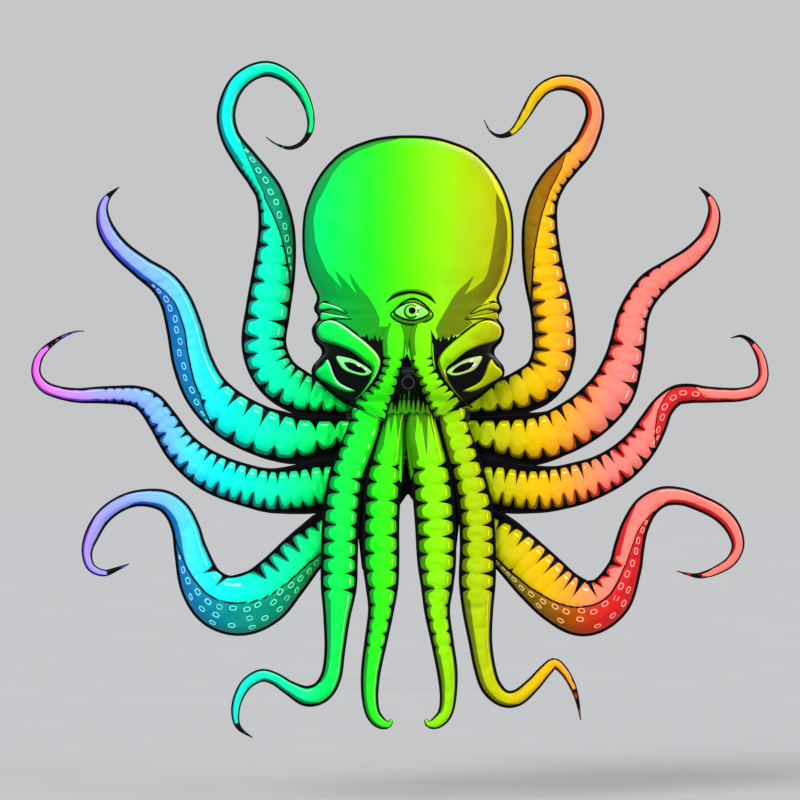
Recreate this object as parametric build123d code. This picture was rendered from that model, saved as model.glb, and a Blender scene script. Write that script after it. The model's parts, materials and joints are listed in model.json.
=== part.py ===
from build123d import *
import os
from math import atan2, degrees, radians, tan

# A single-line figure kite in the shape of an octopus: a puffed head and twelve puffed,
# curling tentacles of ripstop fabric, held in shape by fibreglass rods and a spar frame
# on the back. Upright, the face looks along -Y and +X is to the right of the face.
# The origin is the centre of the tow pin, in front of the face. Millimetres.

# ---------------------------------------------------------------- driving dimensions
SAIL_Y = 155.0            # flat back of the side tentacles, behind the tow pin
FRONT_BACK_Y = SAIL_Y - 52.0   # flat back of the four hanging front tentacles
FACE_BACK_Y = SAIL_Y - 44.0    # flat back of the face and head's front half
HEAD_DEPTH = 100.0        # head's bulge in front of FACE_BACK_Y
PANEL_T = 3.0             # body panel and its hems
SPAR_R = 3.0
ROD_R = 1.5
RUN_FIT = 0.05            # radial running clearance on the spars
SPAR_Y = SAIL_Y + 6.0     # side, upper and shoulder spars
SPINE_Y = SAIL_Y + 12.5   # spine, behind the cross spars
ROD_OFF = 1.6             # rod's centre behind a tentacle's flat back
SIDE_X = 120.0            # side spars
UPPER_Z = 290.0           # upper cross spar
CHIN_Z = -92.0            # chin spar, the front tentacles' hinge
CHIN_Y = SAIL_Y - 68.0
BULGE = 0.85              # tentacle's thickness over its half width
MAX_BULGE = 42.0          # no tentacle is thicker
PIN_R = 2.0
RING_R = 14.0             # tow ring's eye, outside
RING_BORE_R = 9.5
RING_T = 4.5
MIN_TURN = 0.02           # a rod's route has no corner flatter than this, in radians

# Side tentacles: centre line and half width (x, z, half width), root to tip.
SIDE_TENTACLES = {
    "upper_left": [
        (-136, -60, 26), (-172, -50, 34), (-220, -37, 42), (-266, -4, 45), (-288, 54, 45),
        (-280, 124, 45), (-268, 204, 43), (-263, 284, 37), (-275, 350, 29), (-297, 388, 26),
        (-326, 426, 24), (-354, 468, 20), (-364, 510, 19), (-356, 550, 18), (-338, 580, 18),
        (-310, 600, 17), (-278, 606, 16), (-244, 592, 14), (-216, 564, 12), (-198, 526, 9),
        (-195, 488, 7), (-210, 460, 5), (-236, 448, 4), (-264, 456, 2), (-284, 470, 1),
    ],
    "second_left": [
        (-136, -122, 30), (-180, -128, 36), (-236, -132, 46), (-296, -117, 50),
        (-358, -84, 49), (-404, -38, 45), (-431, 20, 41), (-446, 84, 37), (-464, 140, 32),
        (-490, 178, 28), (-532, 209, 23), (-574, 244, 20), (-602, 282, 18), (-611, 320, 12),
        (-602, 348, 7), (-578, 370, 1),
    ],
    "third_left": [
        (-136, -222, 38), (-176, -227, 43), (-216, -234, 43), (-276, -237, 43),
        (-336, -223, 42), (-384, -205, 41), (-423, -181, 38), (-458, -147, 34),
        (-490, -98, 30), (-516, -64, 27), (-544, -49, 22), (-580, -46, 19), (-620, -46, 17),
        (-660, -47, 15), (-698, -41, 13), (-727, -29, 12), (-743, -6, 10), (-741, 22, 9),
        (-725, 46, 7), (-696, 68, 4), (-668, 80, 2), (-648, 82, 1),
    ],
    "lower_left": [
        (-138, -306, 30), (-180, -340, 40), (-216, -371, 47), (-254, -413, 53),
        (-292, -449, 60), (-336, -466, 62), (-380, -456, 57), (-414, -420, 45),
        (-434, -360, 34), (-444, -316, 29), (-461, -280, 26), (-490, -257, 22),
        (-536, -252, 17), (-576, -264, 16), (-610, -290, 16), (-632, -326, 15),
        (-642, -360, 11), (-634, -390, 9), (-608, -402, 7), (-580, -393, 4), (-558, -384, 1),
    ],
    "upper_right": [
        (136, -60, 26), (180, -50, 34), (226, -37, 40), (272, -10, 44), (290, 30, 44),
        (292, 70, 44), (287, 124, 43), (274, 184, 42), (266, 244, 39), (264, 300, 35),
        (272, 346, 30), (292, 384, 27), (320, 416, 25), (348, 446, 23), (366, 482, 21),
        (374, 516, 19), (366, 548, 18), (344, 571, 18), (308, 579, 16), (276, 570, 14),
        (254, 548, 13), (236, 518, 11), (218, 490, 8), (202, 476, 6), (182, 472, 4),
        (164, 482, 2), (152, 504, 1),
    ],
    "second_right": [
        (136, -121, 30), (166, -126, 35), (204, -132, 42), (244, -134, 46), (286, -126, 48),
        (328, -107, 49), (370, -78, 49), (408, -36, 47), (430, 18, 40), (441, 64, 36),
        (448, 104, 33), (464, 142, 30), (488, 174, 29), (526, 203, 24), (566, 231, 21),
        (596, 264, 18), (610, 300, 15), (611, 328, 11), (600, 352, 6), (582, 370, 1),
    ],
    "third_right": [
        (136, -222, 38), (184, -228, 43), (224, -235, 43), (266, -236, 44), (306, -231, 44),
        (346, -221, 43), (386, -206, 40), (427, -182, 38), (464, -146, 34), (488, -108, 30),
        (508, -72, 24), (534, -48, 21), (562, -43, 20), (594, -45, 17), (630, -46, 15),
        (664, -45, 14), (694, -36, 13), (710, -12, 11), (708, 20, 10), (698, 44, 8),
        (682, 64, 5), (665, 72, 3), (646, 68, 1),
    ],
    "lower_right": [
        (138, -306, 30), (184, -338, 44), (224, -372, 51), (264, -412, 55), (308, -452, 56),
        (354, -472, 57), (402, -450, 48), (432, -396, 35), (442, -352, 31), (453, -312, 28),
        (475, -272, 25), (508, -250, 21), (546, -249, 18), (584, -262, 17), (621, -281, 17),
        (648, -309, 16), (660, -346, 13), (646, -378, 11), (614, -398, 9), (584, -407, 6),
        (562, -405, 3), (538, -398, 1),
    ],
}

# Front tentacles: they hang from the chin spar.
FRONT_TENTACLES = {
    "front_outer_left": [
        (-85, -82, 24), (-89, -116, 26), (-107, -160, 29), (-126, -216, 32), (-135, -296, 35),
        (-137, -376, 36), (-137, -430, 36), (-141, -490, 27), (-146, -556, 21),
        (-153, -606, 21), (-172, -637, 22), (-202, -646, 21), (-236, -630, 15),
        (-266, -611, 13), (-293, -605, 13), (-322, -622, 12), (-340, -654, 10),
        (-344, -686, 8), (-336, -710, 5), (-310, -729, 1),
    ],
    "front_inner_left": [
        (-30, -82, 25), (-31, -116, 26), (-38, -172, 30), (-49, -236, 33), (-53, -306, 35),
        (-53, -376, 35), (-52, -426, 33), (-54, -476, 26), (-64, -536, 23), (-74, -596, 20),
        (-76, -646, 17), (-70, -680, 15), (-56, -698, 13), (-40, -703, 8), (-32, -693, 3),
    ],
    "front_inner_right": [
        (27, -82, 25), (31, -116, 28), (39, -172, 35), (48, -236, 41), (54, -306, 41),
        (57, -376, 39), (58, -426, 33), (58, -476, 26), (68, -536, 23), (78, -596, 21),
        (80, -646, 17), (74, -680, 15), (58, -698, 13), (42, -702, 8), (34, -692, 3),
    ],
    "front_outer_right": [
        (84, -82, 24), (90, -116, 26), (110, -160, 30), (127, -216, 33), (137, -276, 34),
        (139, -346, 36), (138, -416, 37), (139, -476, 31), (144, -536, 24), (152, -586, 22),
        (165, -626, 21), (190, -650, 18), (218, -649, 17), (248, -624, 15), (274, -595, 13),
        (292, -581, 11), (312, -598, 9), (328, -626, 7), (338, -658, 4), (344, -694, 1),
    ],
}

# Head outline, right half, crown to chin: dome, two temple folds, brow, cheek and jaw.
HEAD_CROWN_Z = 472.0
HEAD_DOME = [(50, 469), (92, 458), (130, 441), (160, 414), (182, 384), (198, 350), (208, 314),
             (211, 268), (208, 224), (197, 184)]
HEAD_NECK = [(182, 150), (188, 126), (180, 108), (192, 86), (187, 62), (174, 46), (174, 32),
             (190, 12), (192, -6), (180, -20), (118, -68), (60, -75)]
CHIN_EDGE_Z = -75.0
HEAD_CENTRE_Z = 120.0
BACK_LOW_Z = 66.0          # the head's back half ends here, above the side tentacles


# ---------------------------------------------------------------- helpers
def turn_at(points, i):
    """Turn of a route at its point i, in radians."""
    run_in = Vector(*points[i]) - Vector(*points[i - 1])
    run_out = Vector(*points[i + 1]) - Vector(*points[i])
    return radians(run_in.get_angle(run_out))


def rod_path(points):
    """Straight runs joined by tangent arcs as large as the two runs allow."""
    last = len(points) - 1
    kept = [i for i in range(last + 1) if i in (0, last) or turn_at(points, i) > MIN_TURN]
    points = [points[i] for i in kept]
    radii = []
    for i in range(1, len(points) - 1):
        run_in = (Vector(*points[i]) - Vector(*points[i - 1])).length
        run_out = (Vector(*points[i + 1]) - Vector(*points[i])).length
        radii.append(0.45 * min(run_in, run_out) / tan(turn_at(points, i) / 2))
    return FilletPolyline(*points, radius=radii)


def catmull(p0, p1, p2, p3, t):
    """One value of a Catmull-Rom curve between p1 and p2."""
    a = 2 * p1
    b = (p2 - p0) * t
    c = (2 * p0 - 5 * p1 + 4 * p2 - p3) * t * t
    d = (3 * p1 - p0 - 3 * p2 + p3) * t ** 3
    return 0.5 * (a + b + c + d)


def refine(stations, steps=2):
    """Extra stations on a smooth curve through the given ones."""
    ends = [stations[0]] + stations + [stations[-1]]
    fine = []
    for i in range(1, len(ends) - 2):
        for k in range(steps):
            group = ends[i - 1:i + 3]
            fine.append(tuple(catmull(*[g[j] for g in group], k / steps) for j in range(3)))
    return fine + [stations[-1]]


def section(x, z, half, back_y, run, thick):
    """Half-round section: flat on the back, bulging towards the front."""
    plane = Plane(origin=(x, back_y, z), x_dir=(-run.Z, 0, run.X), z_dir=run)
    bulge = EllipticalCenterArc((0, 0), half, thick, start_angle=0, arc_size=180)
    wire = Wire([bulge.edge(), Edge.make_line(bulge @ 1, bulge @ 0)])
    return plane.from_local_coords(wire)


def tentacle(stations, back_y, thin_run):
    """Puffed tentacle; its thickness grows from the root over thin_run."""
    fine = refine(stations)
    wires = []
    travelled = 0.0
    for i, (x, z, half) in enumerate(fine):
        before = fine[max(i - 1, 0)]
        after = fine[min(i + 1, len(fine) - 1)]
        run = Vector(after[0] - before[0], 0, after[1] - before[1]).normalized()
        if i:
            travelled += Vector(x - before[0], 0, z - before[1]).length
        share = 0.62 + 0.38 * min(travelled / thin_run, 1.0)
        half = max(half, 1.0)
        thick = min(half * BULGE, MAX_BULGE) * share
        wires.append(section(x, z, half, back_y, run, thick))
    return Solid.make_loft(wires, ruled=True)


def tube(start, end, radius):
    """Round bar between two points."""
    line = Vector(*end) - Vector(*start)
    return Solid.make_cylinder(radius, line.length, Plane(origin=start, z_dir=line))


def block(x0, x1, y0, y1, z0, z1):
    """Box between opposite corners."""
    return Pos((x0 + x1) / 2, (y0 + y1) / 2, (z0 + z1) / 2) * Box(x1 - x0, y1 - y0, z1 - z0)


def save(node, shape, color):
    """Writes one node's STEP."""
    shape.label = node
    shape.color = Color(*color)
    export_step(shape, f"parts/{node}.step")


BLACK = (0.05, 0.05, 0.06)
FABRICS = {"left": (0.1, 0.9, 0.8), "right": (0.95, 0.7, 0.2), "mid": (0.4, 1.0, 0.1)}


# ---------------------------------------------------------------- tentacles
def side_tentacle(name, stations):
    """Skin, rod and the root socket that turns on a vertical side spar."""
    side = -1 if stations[0][0] < 0 else 1
    root_z = stations[0][1]
    rod_y = SAIL_Y + ROD_OFF
    points = [(side * (SIDE_X + 9), rod_y, root_z), (side * (SIDE_X + 36), rod_y, root_z)]
    points += [(x, rod_y, z) for x, z, half in stations[2:-2]]
    path = rod_path(points)
    rod = sweep(Plane(origin=path @ 0, z_dir=path % 0) * Circle(ROD_R), path=path)
    ring = tube((side * SIDE_X, SPAR_Y, root_z - 18), (side * SIDE_X, SPAR_Y, root_z + 18), 6.5)
    inner, outer = sorted((side * (SIDE_X + 4), side * (SIDE_X + 22)))
    socket = ring + block(inner, outer, SAIL_Y + 0.1, SAIL_Y + 8, root_z - 9, root_z + 9)
    socket -= tube((side * SIDE_X, SPAR_Y, root_z - 30), (side * SIDE_X, SPAR_Y, root_z + 30),
                   SPAR_R + RUN_FIT)
    socket -= tube(points[0], points[1], ROD_R)
    color = FABRICS["left" if side < 0 else "right"]
    save("tentacle_" + name, tentacle(stations, SAIL_Y, 120.0), color)
    save("rod_" + name, rod, BLACK)
    save("root_socket_" + name, socket, BLACK)


def front_tentacle(name, stations):
    """Skin, rod and the root socket that hangs on the chin spar."""
    rod_y = FRONT_BACK_Y + ROD_OFF
    x_top = stations[0][0]
    points = [(x_top, rod_y, CHIN_Z + 2)]
    points += [(x, rod_y, z) for x, z, half in stations[1:-2]]
    path = rod_path(points)
    rod = sweep(Plane(origin=path @ 0, z_dir=path % 0) * Circle(ROD_R), path=path)
    ring = tube((x_top - 18, CHIN_Y, CHIN_Z), (x_top + 18, CHIN_Y, CHIN_Z), 5.5)
    web = block(x_top - 6, x_top + 6, CHIN_Y, FRONT_BACK_Y + 4.5, CHIN_Z - 5, CHIN_Z + 5)
    tab = block(x_top - 8, x_top + 8, FRONT_BACK_Y + 0.05, FRONT_BACK_Y + 5, CHIN_Z - 36,
                CHIN_Z + 5)
    body = ring + web + tab
    skin = tentacle(stations, FRONT_BACK_Y, 60.0)
    skin -= body
    skin -= tube((x_top - 60, CHIN_Y, CHIN_Z), (x_top + 60, CHIN_Y, CHIN_Z), 5.5)
    body -= tube((x_top - 30, CHIN_Y, CHIN_Z), (x_top + 30, CHIN_Y, CHIN_Z), SPAR_R + RUN_FIT)
    body -= rod
    save("tentacle_" + name, skin, FABRICS["mid"])
    save("rod_" + name, rod, BLACK)
    save("root_socket_" + name, body, BLACK)


# ---------------------------------------------------------------- head
def head_wire(y, scale, low_z=None):
    """Head outline at a depth, drawn in towards the head's centre."""
    neck = [HEAD_DOME[-1]] + HEAD_NECK + [(0, CHIN_EDGE_Z)]
    if low_z is not None:
        neck = [HEAD_DOME[-1], (178, 130), (150, low_z), (0, low_z)]
    crown = [(0, HEAD_CROWN_Z)] + HEAD_DOME
    shrink = [[Vector(x * scale, HEAD_CENTRE_Z + (z - HEAD_CENTRE_Z) * scale) for x, z in points]
              for points in (crown, neck)]
    dome_right = Spline(*shrink[0], tangents=[(1, 0), (-1, -2.2)])
    half = list(dome_right.edges()) + list(Polyline(*shrink[1]).edges())
    whole = Wire(half + [edge.mirror(Plane.YZ) for edge in half])
    return Plane(origin=(0, y, 0), x_dir=(1, 0, 0), z_dir=(0, -1, 0)).from_local_coords(whole)


def dome(back_y, depth, low_z=None, toward=-1.0):
    """Puffed half of the head between its seam and its highest part."""
    profile = [(1.0, 0.0), (0.985, 0.26), (0.95, 0.45), (0.88, 0.64), (0.76, 0.8), (0.58, 0.92),
               (0.34, 0.985), (0.1, 1.0)]
    wires = [head_wire(back_y + toward * depth * rise, scale, low_z) for scale, rise in profile]
    return Solid.make_loft(wires, ruled=True)


def raised(face, height, head):
    """Pad standing on the head by a height, cut to the head's surface."""
    plane = Plane(origin=(0, FACE_BACK_Y - 4, 0), x_dir=(1, 0, 0), z_dir=(0, -1, 0))
    column = extrude(plane * face, amount=FACE_BACK_Y)
    return (column & (Pos(0, -height, 0) * head)) - head


def mirrored(points):
    return [(-x, z) for x, z in points]


BROW = [(188, 62), (188, 84), (176, 98), (150, 96), (80, 40), (58, 20), (66, -12), (98, -44),
        (120, -64), (112, -40), (84, -14), (74, 8), (86, 18), (140, 46), (172, 48)]
NOSE = [(8, 84), (36, 84), (42, 60), (50, 24), (62, -14), (98, -52), (104, -70), (60, -72),
        (46, -40), (30, -6), (12, 30)]
EYE = [(80, 4), (94, 18), (112, 26), (132, 24), (146, 30), (140, 10), (122, -4), (98, -6)]


def almond(cx, cz, half_w, half_h):
    """Eye outline: two arcs that meet in corners."""
    top = ThreePointArc((cx - half_w, cz), (cx, cz + half_h), (cx + half_w, cz))
    bottom = ThreePointArc((cx + half_w, cz), (cx, cz - half_h), (cx - half_w, cz))
    return make_face(Wire([top.edge(), bottom.edge()]))


def head_group():
    """Head skin and what is sewn on it, with the hole for the tow post."""
    front = dome(FACE_BACK_Y, HEAD_DEPTH)
    back = dome(FACE_BACK_Y, SAIL_Y + PANEL_T - FACE_BACK_Y, BACK_LOW_Z, toward=1.0)
    post_hole = tube((0, SAIL_Y + 1, 0), (0, -SAIL_Y, 0), 7.0)
    head = front + back
    save("head_skin", head - post_hole, FABRICS["mid"])
    pads = {"brow": (BROW, 15), "nose_ridge": (NOSE, 12), "eye": (EYE, 4)}
    for pad, (outline, height) in pads.items():
        for side, points in (("right", outline), ("left", mirrored(outline))):
            face = make_face(Polyline(*points, close=True))
            save(f"{pad}_{side}", raised(face, height, front), FABRICS[side])
    save("third_eye", raised(almond(6, 122, 36, 18), 4, front), FABRICS["mid"])


# ---------------------------------------------------------------- sail, frame and tow point
def body_panel():
    """Flat panel behind the face and the tops of the hanging tentacles."""
    half = [(0, 80), (100, 80), (105, 60), (105, -300), (92, -398), (74, -398), (40, -300),
            (0, -240)]
    outline = half + mirrored(half)[-2:0:-1]
    plane = Plane(origin=(0, SAIL_Y, 0), x_dir=(1, 0, 0), z_dir=(0, 1, 0))
    face = make_face(Polyline(*[(x, -z) for x, z in outline], close=True))
    panel = extrude(plane * face, amount=PANEL_T)
    panel -= tube((0, SAIL_Y - 10, 0), (0, SAIL_Y + 10, 0), 7.0)
    panel -= block(-200, 200, SAIL_Y - 5, SAIL_Y + 9, BACK_LOW_Z, 200)
    for side in (-1, 1):
        low, high = sorted((side * 92, side * 120))
        panel -= block(low, high, SAIL_Y - 1, SAIL_Y + 4, -8, 8)
    save("body_panel", panel, (0.05, 0.4, 0.15))


def frame_group():
    """Spars, connectors and end caps."""
    spine = tube((0, SPINE_Y, 440), (0, SPINE_Y, -226), SPAR_R)
    upper = tube((-185, SPAR_Y, UPPER_Z), (185, SPAR_Y, UPPER_Z), SPAR_R)
    shoulder = tube((-SIDE_X + 8, SPAR_Y, 0), (SIDE_X - 8, SPAR_Y, 0), SPAR_R)
    chin = tube((-SIDE_X, CHIN_Y, CHIN_Z), (SIDE_X, CHIN_Y, CHIN_Z), SPAR_R)
    spars = {"spine_spar": spine, "upper_spar": upper, "shoulder_spar": shoulder,
             "chin_spar": chin}
    for side, label in ((-1, "left"), (1, "right")):
        x = side * SIDE_X
        side_spar = tube((x, SPAR_Y, 40), (x, SPAR_Y, -340), SPAR_R)
        spars["side_spar_" + label] = side_spar
        tee = tube((x, SPAR_Y, -12), (x, SPAR_Y, 12), 6.5)
        tee += tube((x, SPAR_Y, 0), (x - side * 26, SPAR_Y, 0), 5.5)
        save("side_connector_" + label, tee - side_spar - shoulder, BLACK)
        arm_x = sorted((x - side * 6, x + side * 3))
        eye_x = sorted((x - side * 5.5, x + side * 2))
        bracket = tube((x, SPAR_Y, CHIN_Z + 2), (x, SPAR_Y, CHIN_Z + 14), 6.5)
        bracket += block(*arm_x, CHIN_Y - 1, SPAR_Y, CHIN_Z + 2.5, CHIN_Z + 10)
        bracket += tube((eye_x[0], CHIN_Y, CHIN_Z), (eye_x[1], CHIN_Y, CHIN_Z), 6.0)
        save("chin_bracket_" + label, bracket - side_spar - chin, BLACK)
    for node, spar in spars.items():
        save(node, spar, (0.15, 0.15, 0.16))
    cross = block(-9, 9, SPAR_Y - 2.9, SPINE_Y + 5.5, UPPER_Z - 9, UPPER_Z + 9)
    save("upper_connector", cross - spine - upper, BLACK)
    ends = [((0, SPINE_Y, 440), 1), ((0, SPINE_Y, -226), -1)]
    for x in (-SIDE_X, SIDE_X):
        ends += [((x, SPAR_Y, 40), 1), ((x, SPAR_Y, -340), -1)]
    caps = [tube((x, y, z - up * 10), (x, y, z + up * 2), 4.2) for (x, y, z), up in ends]
    for side in (-1, 1):
        caps.append(tube((side * 175, SPAR_Y, UPPER_Z), (side * 187, SPAR_Y, UPPER_Z), 4.2))
    hollow = [cap.cut(*spars.values()) for cap in caps]
    save("spar_end_caps", Compound(children=[Solid(h.solids()[0].wrapped) for h in hollow]), BLACK)
    return spine, shoulder


def tow_group(spine, shoulder):
    """Tow post clamped on the frame, its clevis, pin and ring."""
    clamp = block(-16, 16, SAIL_Y + PANEL_T, SPINE_Y + 6, -11, 11)
    post = clamp + tube((0, SAIL_Y + PANEL_T, 0), (0, 16, 0), 7.0)
    post += block(-10.5, 10.5, 12, 18, -9, 9)
    for x in (-10.5, 6.5):
        cheek = block(x, x + 4, 0, 14, -6, 6) + tube((x, 0, 0), (x + 4, 0, 0), 7.0)
        post += cheek
    pin = tube((-12.5, 0, 0), (12.5, 0, 0), PIN_R)
    pin += tube((-13.5, 0, 0), (-10.6, 0, 0), 4.0)
    pin += tube((10.6, 0, 0), (13.5, 0, 0), 4.0)
    post -= tube((-20, 0, 0), (20, 0, 0), PIN_R)
    save("tow_post", post - spine - shoulder, (0.12, 0.12, 0.13))
    save("tow_pin", pin, (0.7, 0.7, 0.72))
    ring_plane = Plane(origin=(0, 0, -RING_R - 7.5), z_dir=(0, 1, 0))
    link = ring_plane * Cylinder(RING_R, RING_T)
    link += tube((-6, 0, 0), (6, 0, 0), 5.0)
    link += block(-5, 5, -RING_T / 2, RING_T / 2, -12, -3)
    link -= tube((-8, 0, 0), (8, 0, 0), PIN_R + RUN_FIT)
    link -= ring_plane * Cylinder(RING_BORE_R, 3 * RING_T)
    save("tow_ring", link, (0.75, 0.75, 0.77))


def main():
    os.makedirs("parts", exist_ok=True)
    for name, stations in SIDE_TENTACLES.items():
        side_tentacle(name, stations)
    for name, stations in FRONT_TENTACLES.items():
        front_tentacle(name, stations)
    head_group()
    body_panel()
    spine, shoulder = frame_group()
    tow_group(spine, shoulder)


main()
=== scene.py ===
import json
import math

import bpy
import numpy as np
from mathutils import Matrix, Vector, geometry


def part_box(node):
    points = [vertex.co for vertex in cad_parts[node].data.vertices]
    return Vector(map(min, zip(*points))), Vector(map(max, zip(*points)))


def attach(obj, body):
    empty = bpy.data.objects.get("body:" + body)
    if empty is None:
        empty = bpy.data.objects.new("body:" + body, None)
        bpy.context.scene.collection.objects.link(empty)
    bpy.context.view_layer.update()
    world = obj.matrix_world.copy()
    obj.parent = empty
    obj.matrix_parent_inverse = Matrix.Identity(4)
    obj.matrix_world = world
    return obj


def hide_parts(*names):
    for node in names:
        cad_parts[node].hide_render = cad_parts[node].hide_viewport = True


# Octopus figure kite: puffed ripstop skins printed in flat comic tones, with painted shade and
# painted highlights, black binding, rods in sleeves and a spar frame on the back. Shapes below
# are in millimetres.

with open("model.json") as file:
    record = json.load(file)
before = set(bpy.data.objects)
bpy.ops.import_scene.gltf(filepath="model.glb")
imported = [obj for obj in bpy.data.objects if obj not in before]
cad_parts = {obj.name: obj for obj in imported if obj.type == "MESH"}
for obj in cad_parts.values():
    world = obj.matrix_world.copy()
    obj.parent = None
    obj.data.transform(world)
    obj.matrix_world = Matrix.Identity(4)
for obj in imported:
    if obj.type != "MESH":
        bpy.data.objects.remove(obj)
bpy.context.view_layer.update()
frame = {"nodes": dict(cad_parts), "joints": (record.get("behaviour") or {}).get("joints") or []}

MM = 0.001
SEED = 7
SAIL_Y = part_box("body_panel")[0][1] / MM            # flat back of the side tentacles
CHIN_Y = next(j for j in frame["joints"]
              if j["name"] == "swing_front_inner_left")["pos_m"][1] / MM
FRONT_Y = CHIN_Y + 16.0                             # flat back of the front tentacles
FACE_Y = SAIL_Y - 44.0                              # flat back of the head's front half
HEAD_DEPTH = FACE_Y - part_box("head_skin")[0][1] / MM
BAND = 6.0                                          # black binding's width
CLOTH_FRAMES = 16
SKIN_CAP = 5.0                                      # cloth pass: farthest a point moves
SKIN_SHARE = np.array((0.25, 1.0, 0.25))            # how much of the move is kept, by axis
HEAD_CAP = 6.0
BULGE = 0.85                                        # a skin's depth for its half width
MAX_BULGE = 42.0
OFF = -9.0                                          # a print field's value where it isn't seen
RIP_PITCH = 6.0                                     # ripstop squares
INK = (0.0025, 0.0025, 0.003, 1)
SPOKES = 481                                        # round the head, first and last the same
OVAL_POINTS = 40
ROW_STEP = 3.6                                      # between a skin's rows, about

# ---------------------------------------------------------------- camera, light, floor
WORLD_LIGHT = 0.58
VIEW_WIDTH = 1600.0
CAMERA_DISTANCE = 14.0
FLOOR_Z = -0.86
VIEW_CENTRE = (-16.0, SAIL_Y, -56.0)


def stage():
    scene = bpy.context.scene
    scene.view_settings.view_transform = "Standard"
    camera = bpy.data.objects.new("camera", bpy.data.cameras.new("camera"))
    scene.collection.objects.link(camera)
    centre = Vector(VIEW_CENTRE) * MM
    camera.location = centre - Vector((0, CAMERA_DISTANCE, 0))
    camera.rotation_euler = (math.radians(90), 0, 0)
    camera.data.lens = camera.data.sensor_width * CAMERA_DISTANCE / (VIEW_WIDTH * MM)
    camera.data.clip_end = 100
    scene.camera = camera
    world = bpy.data.worlds.new("studio")
    world.use_nodes = True
    world.node_tree.nodes["Background"].inputs[0].default_value = (0.97, 0.98, 1.0, 1)
    world.node_tree.nodes["Background"].inputs[1].default_value = WORLD_LIGHT
    scene.world = world
    for name, toward, power in (("key", (0.5, 1.0, -0.75), 1.88),
                                ("fill", (-0.9, 1.0, -0.25), 0.95),
                                ("back", (-0.35, -1.0, -0.6), 1.0)):
        lamp = bpy.data.lights.new(name, "SUN")
        lamp.energy = power
        lamp.angle = math.radians(24)
        light = bpy.data.objects.new(name, lamp)
        light.rotation_euler = Vector(toward).to_track_quat("-Z", "Y").to_euler()
        scene.collection.objects.link(light)
    corners = [(-40, -40), (40, -40), (40, 40), (-40, 40)]
    floor = mesh_object("floor", [(x, y, FLOOR_Z) for x, y in corners], [(0, 1, 2, 3)])
    floor.data.materials.append(plain("floor_paint", (0.52, 0.525, 0.535), 1.0))


# ---------------------------------------------------------------- meshes and attributes
def mesh_object(name, points, faces):
    mesh = bpy.data.meshes.new(name)
    mesh.from_pydata([tuple(p) for p in points], [], faces)
    mesh.update()
    mesh.shade_smooth()
    piece = bpy.data.objects.new(name, mesh)
    bpy.context.scene.collection.objects.link(piece)
    return piece


def quads(n, m, wide=True, tall=False, flip=False, offset=0):
    """Faces of a grid of n rows by m points; wide and tall close it round on itself."""
    faces = []
    for i in range(n if tall else n - 1):
        for j in range(m if wide else m - 1):
            a, b = offset + i * m, offset + (i + 1) % n * m
            k = (j + 1) % m
            faces.append((a + j, a + k, b + k, b + j) if flip else (a + j, b + j, b + k, a + k))
    return faces


def set_layer(piece, name, kind, key, values):
    """Stores one value per point for the material."""
    layer = piece.data.attributes.new(name, kind, "POINT")
    layer.data.foreach_set(key, np.asarray(values, np.float32).ravel())


def set_color(piece, name, colors):
    set_layer(piece, name, "FLOAT_COLOR", "color", np.insert(colors, 3, 1.0, axis=1))


def cover(piece, kind, cloth=None):
    """Material, and the fabric's own coordinates for its weave."""
    if cloth is not None:
        set_layer(piece, "cloth", "FLOAT_VECTOR", "vector", cloth)
    piece.data.materials.append(MATERIALS[kind])


def linear(rgb):
    rgb = np.asarray(rgb, float)
    return np.where(rgb <= 0.04045, rgb / 12.92, ((rgb + 0.055) / 1.055) ** 2.4)


# Rainbow across the span, lit and darker: x in mm, then red, green, blue as displayed. The darker
# one is the painted shade tone, and the undersides take it as their own colour.
LIGHT_TONES = [(-746, 1.0, .42, .95), (-690, .84, .50, 1.0), (-620, .66, .62, 1.0),
               (-480, .46, .76, 1.0), (-436, .26, .90, 1.0), (-400, .10, .93, .98),
               (-360, 0, .97, .90), (-320, 0, .98, .82), (-280, 0, .99, .75), (-240, 0, 1.0, .66),
               (-160, 0, 1.0, .38), (-116, .08, 1.0, .26), (-76, .12, 1.0, .14),
               (-16, .33, 1.0, 0), (44, .52, .97, 0), (114, .66, .84, 0), (174, .76, .79, 0),
               (224, .86, .76, 0), (274, .98, .74, 0), (340, 1.0, .62, .28),
               (404, 1.0, .52, .48), (746, 1.0, .48, .44)]
DARK_TONES = [(-746, .75, .25, .75), (-600, .30, .30, .95), (-466, 0, .46, .75),
              (-400, 0, .52, .64), (-340, 0, .58, .55), (-240, 0, .60, .44), (-190, 0, .66, .32),
              (-116, 0, .66, .20), (0, .24, .60, 0), (84, .42, .50, 0), (160, .50, .50, 0),
              (224, .54, .46, 0), (324, .68, .32, 0), (390, .88, .12, .12), (746, .86, .12, .16)]
# Blue of the painted highlight tone, by x.
HIGHLIGHT_BLUE = ([-100, 0, 200, 240, 420], [.80, .15, .02, .50, .86])


def tone(table, x):
    table = np.asarray(table, float)
    rgb = np.stack([np.interp(x, table[:, 0], table[:, i]) for i in (1, 2, 3)], axis=1)
    return linear(rgb)


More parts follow.
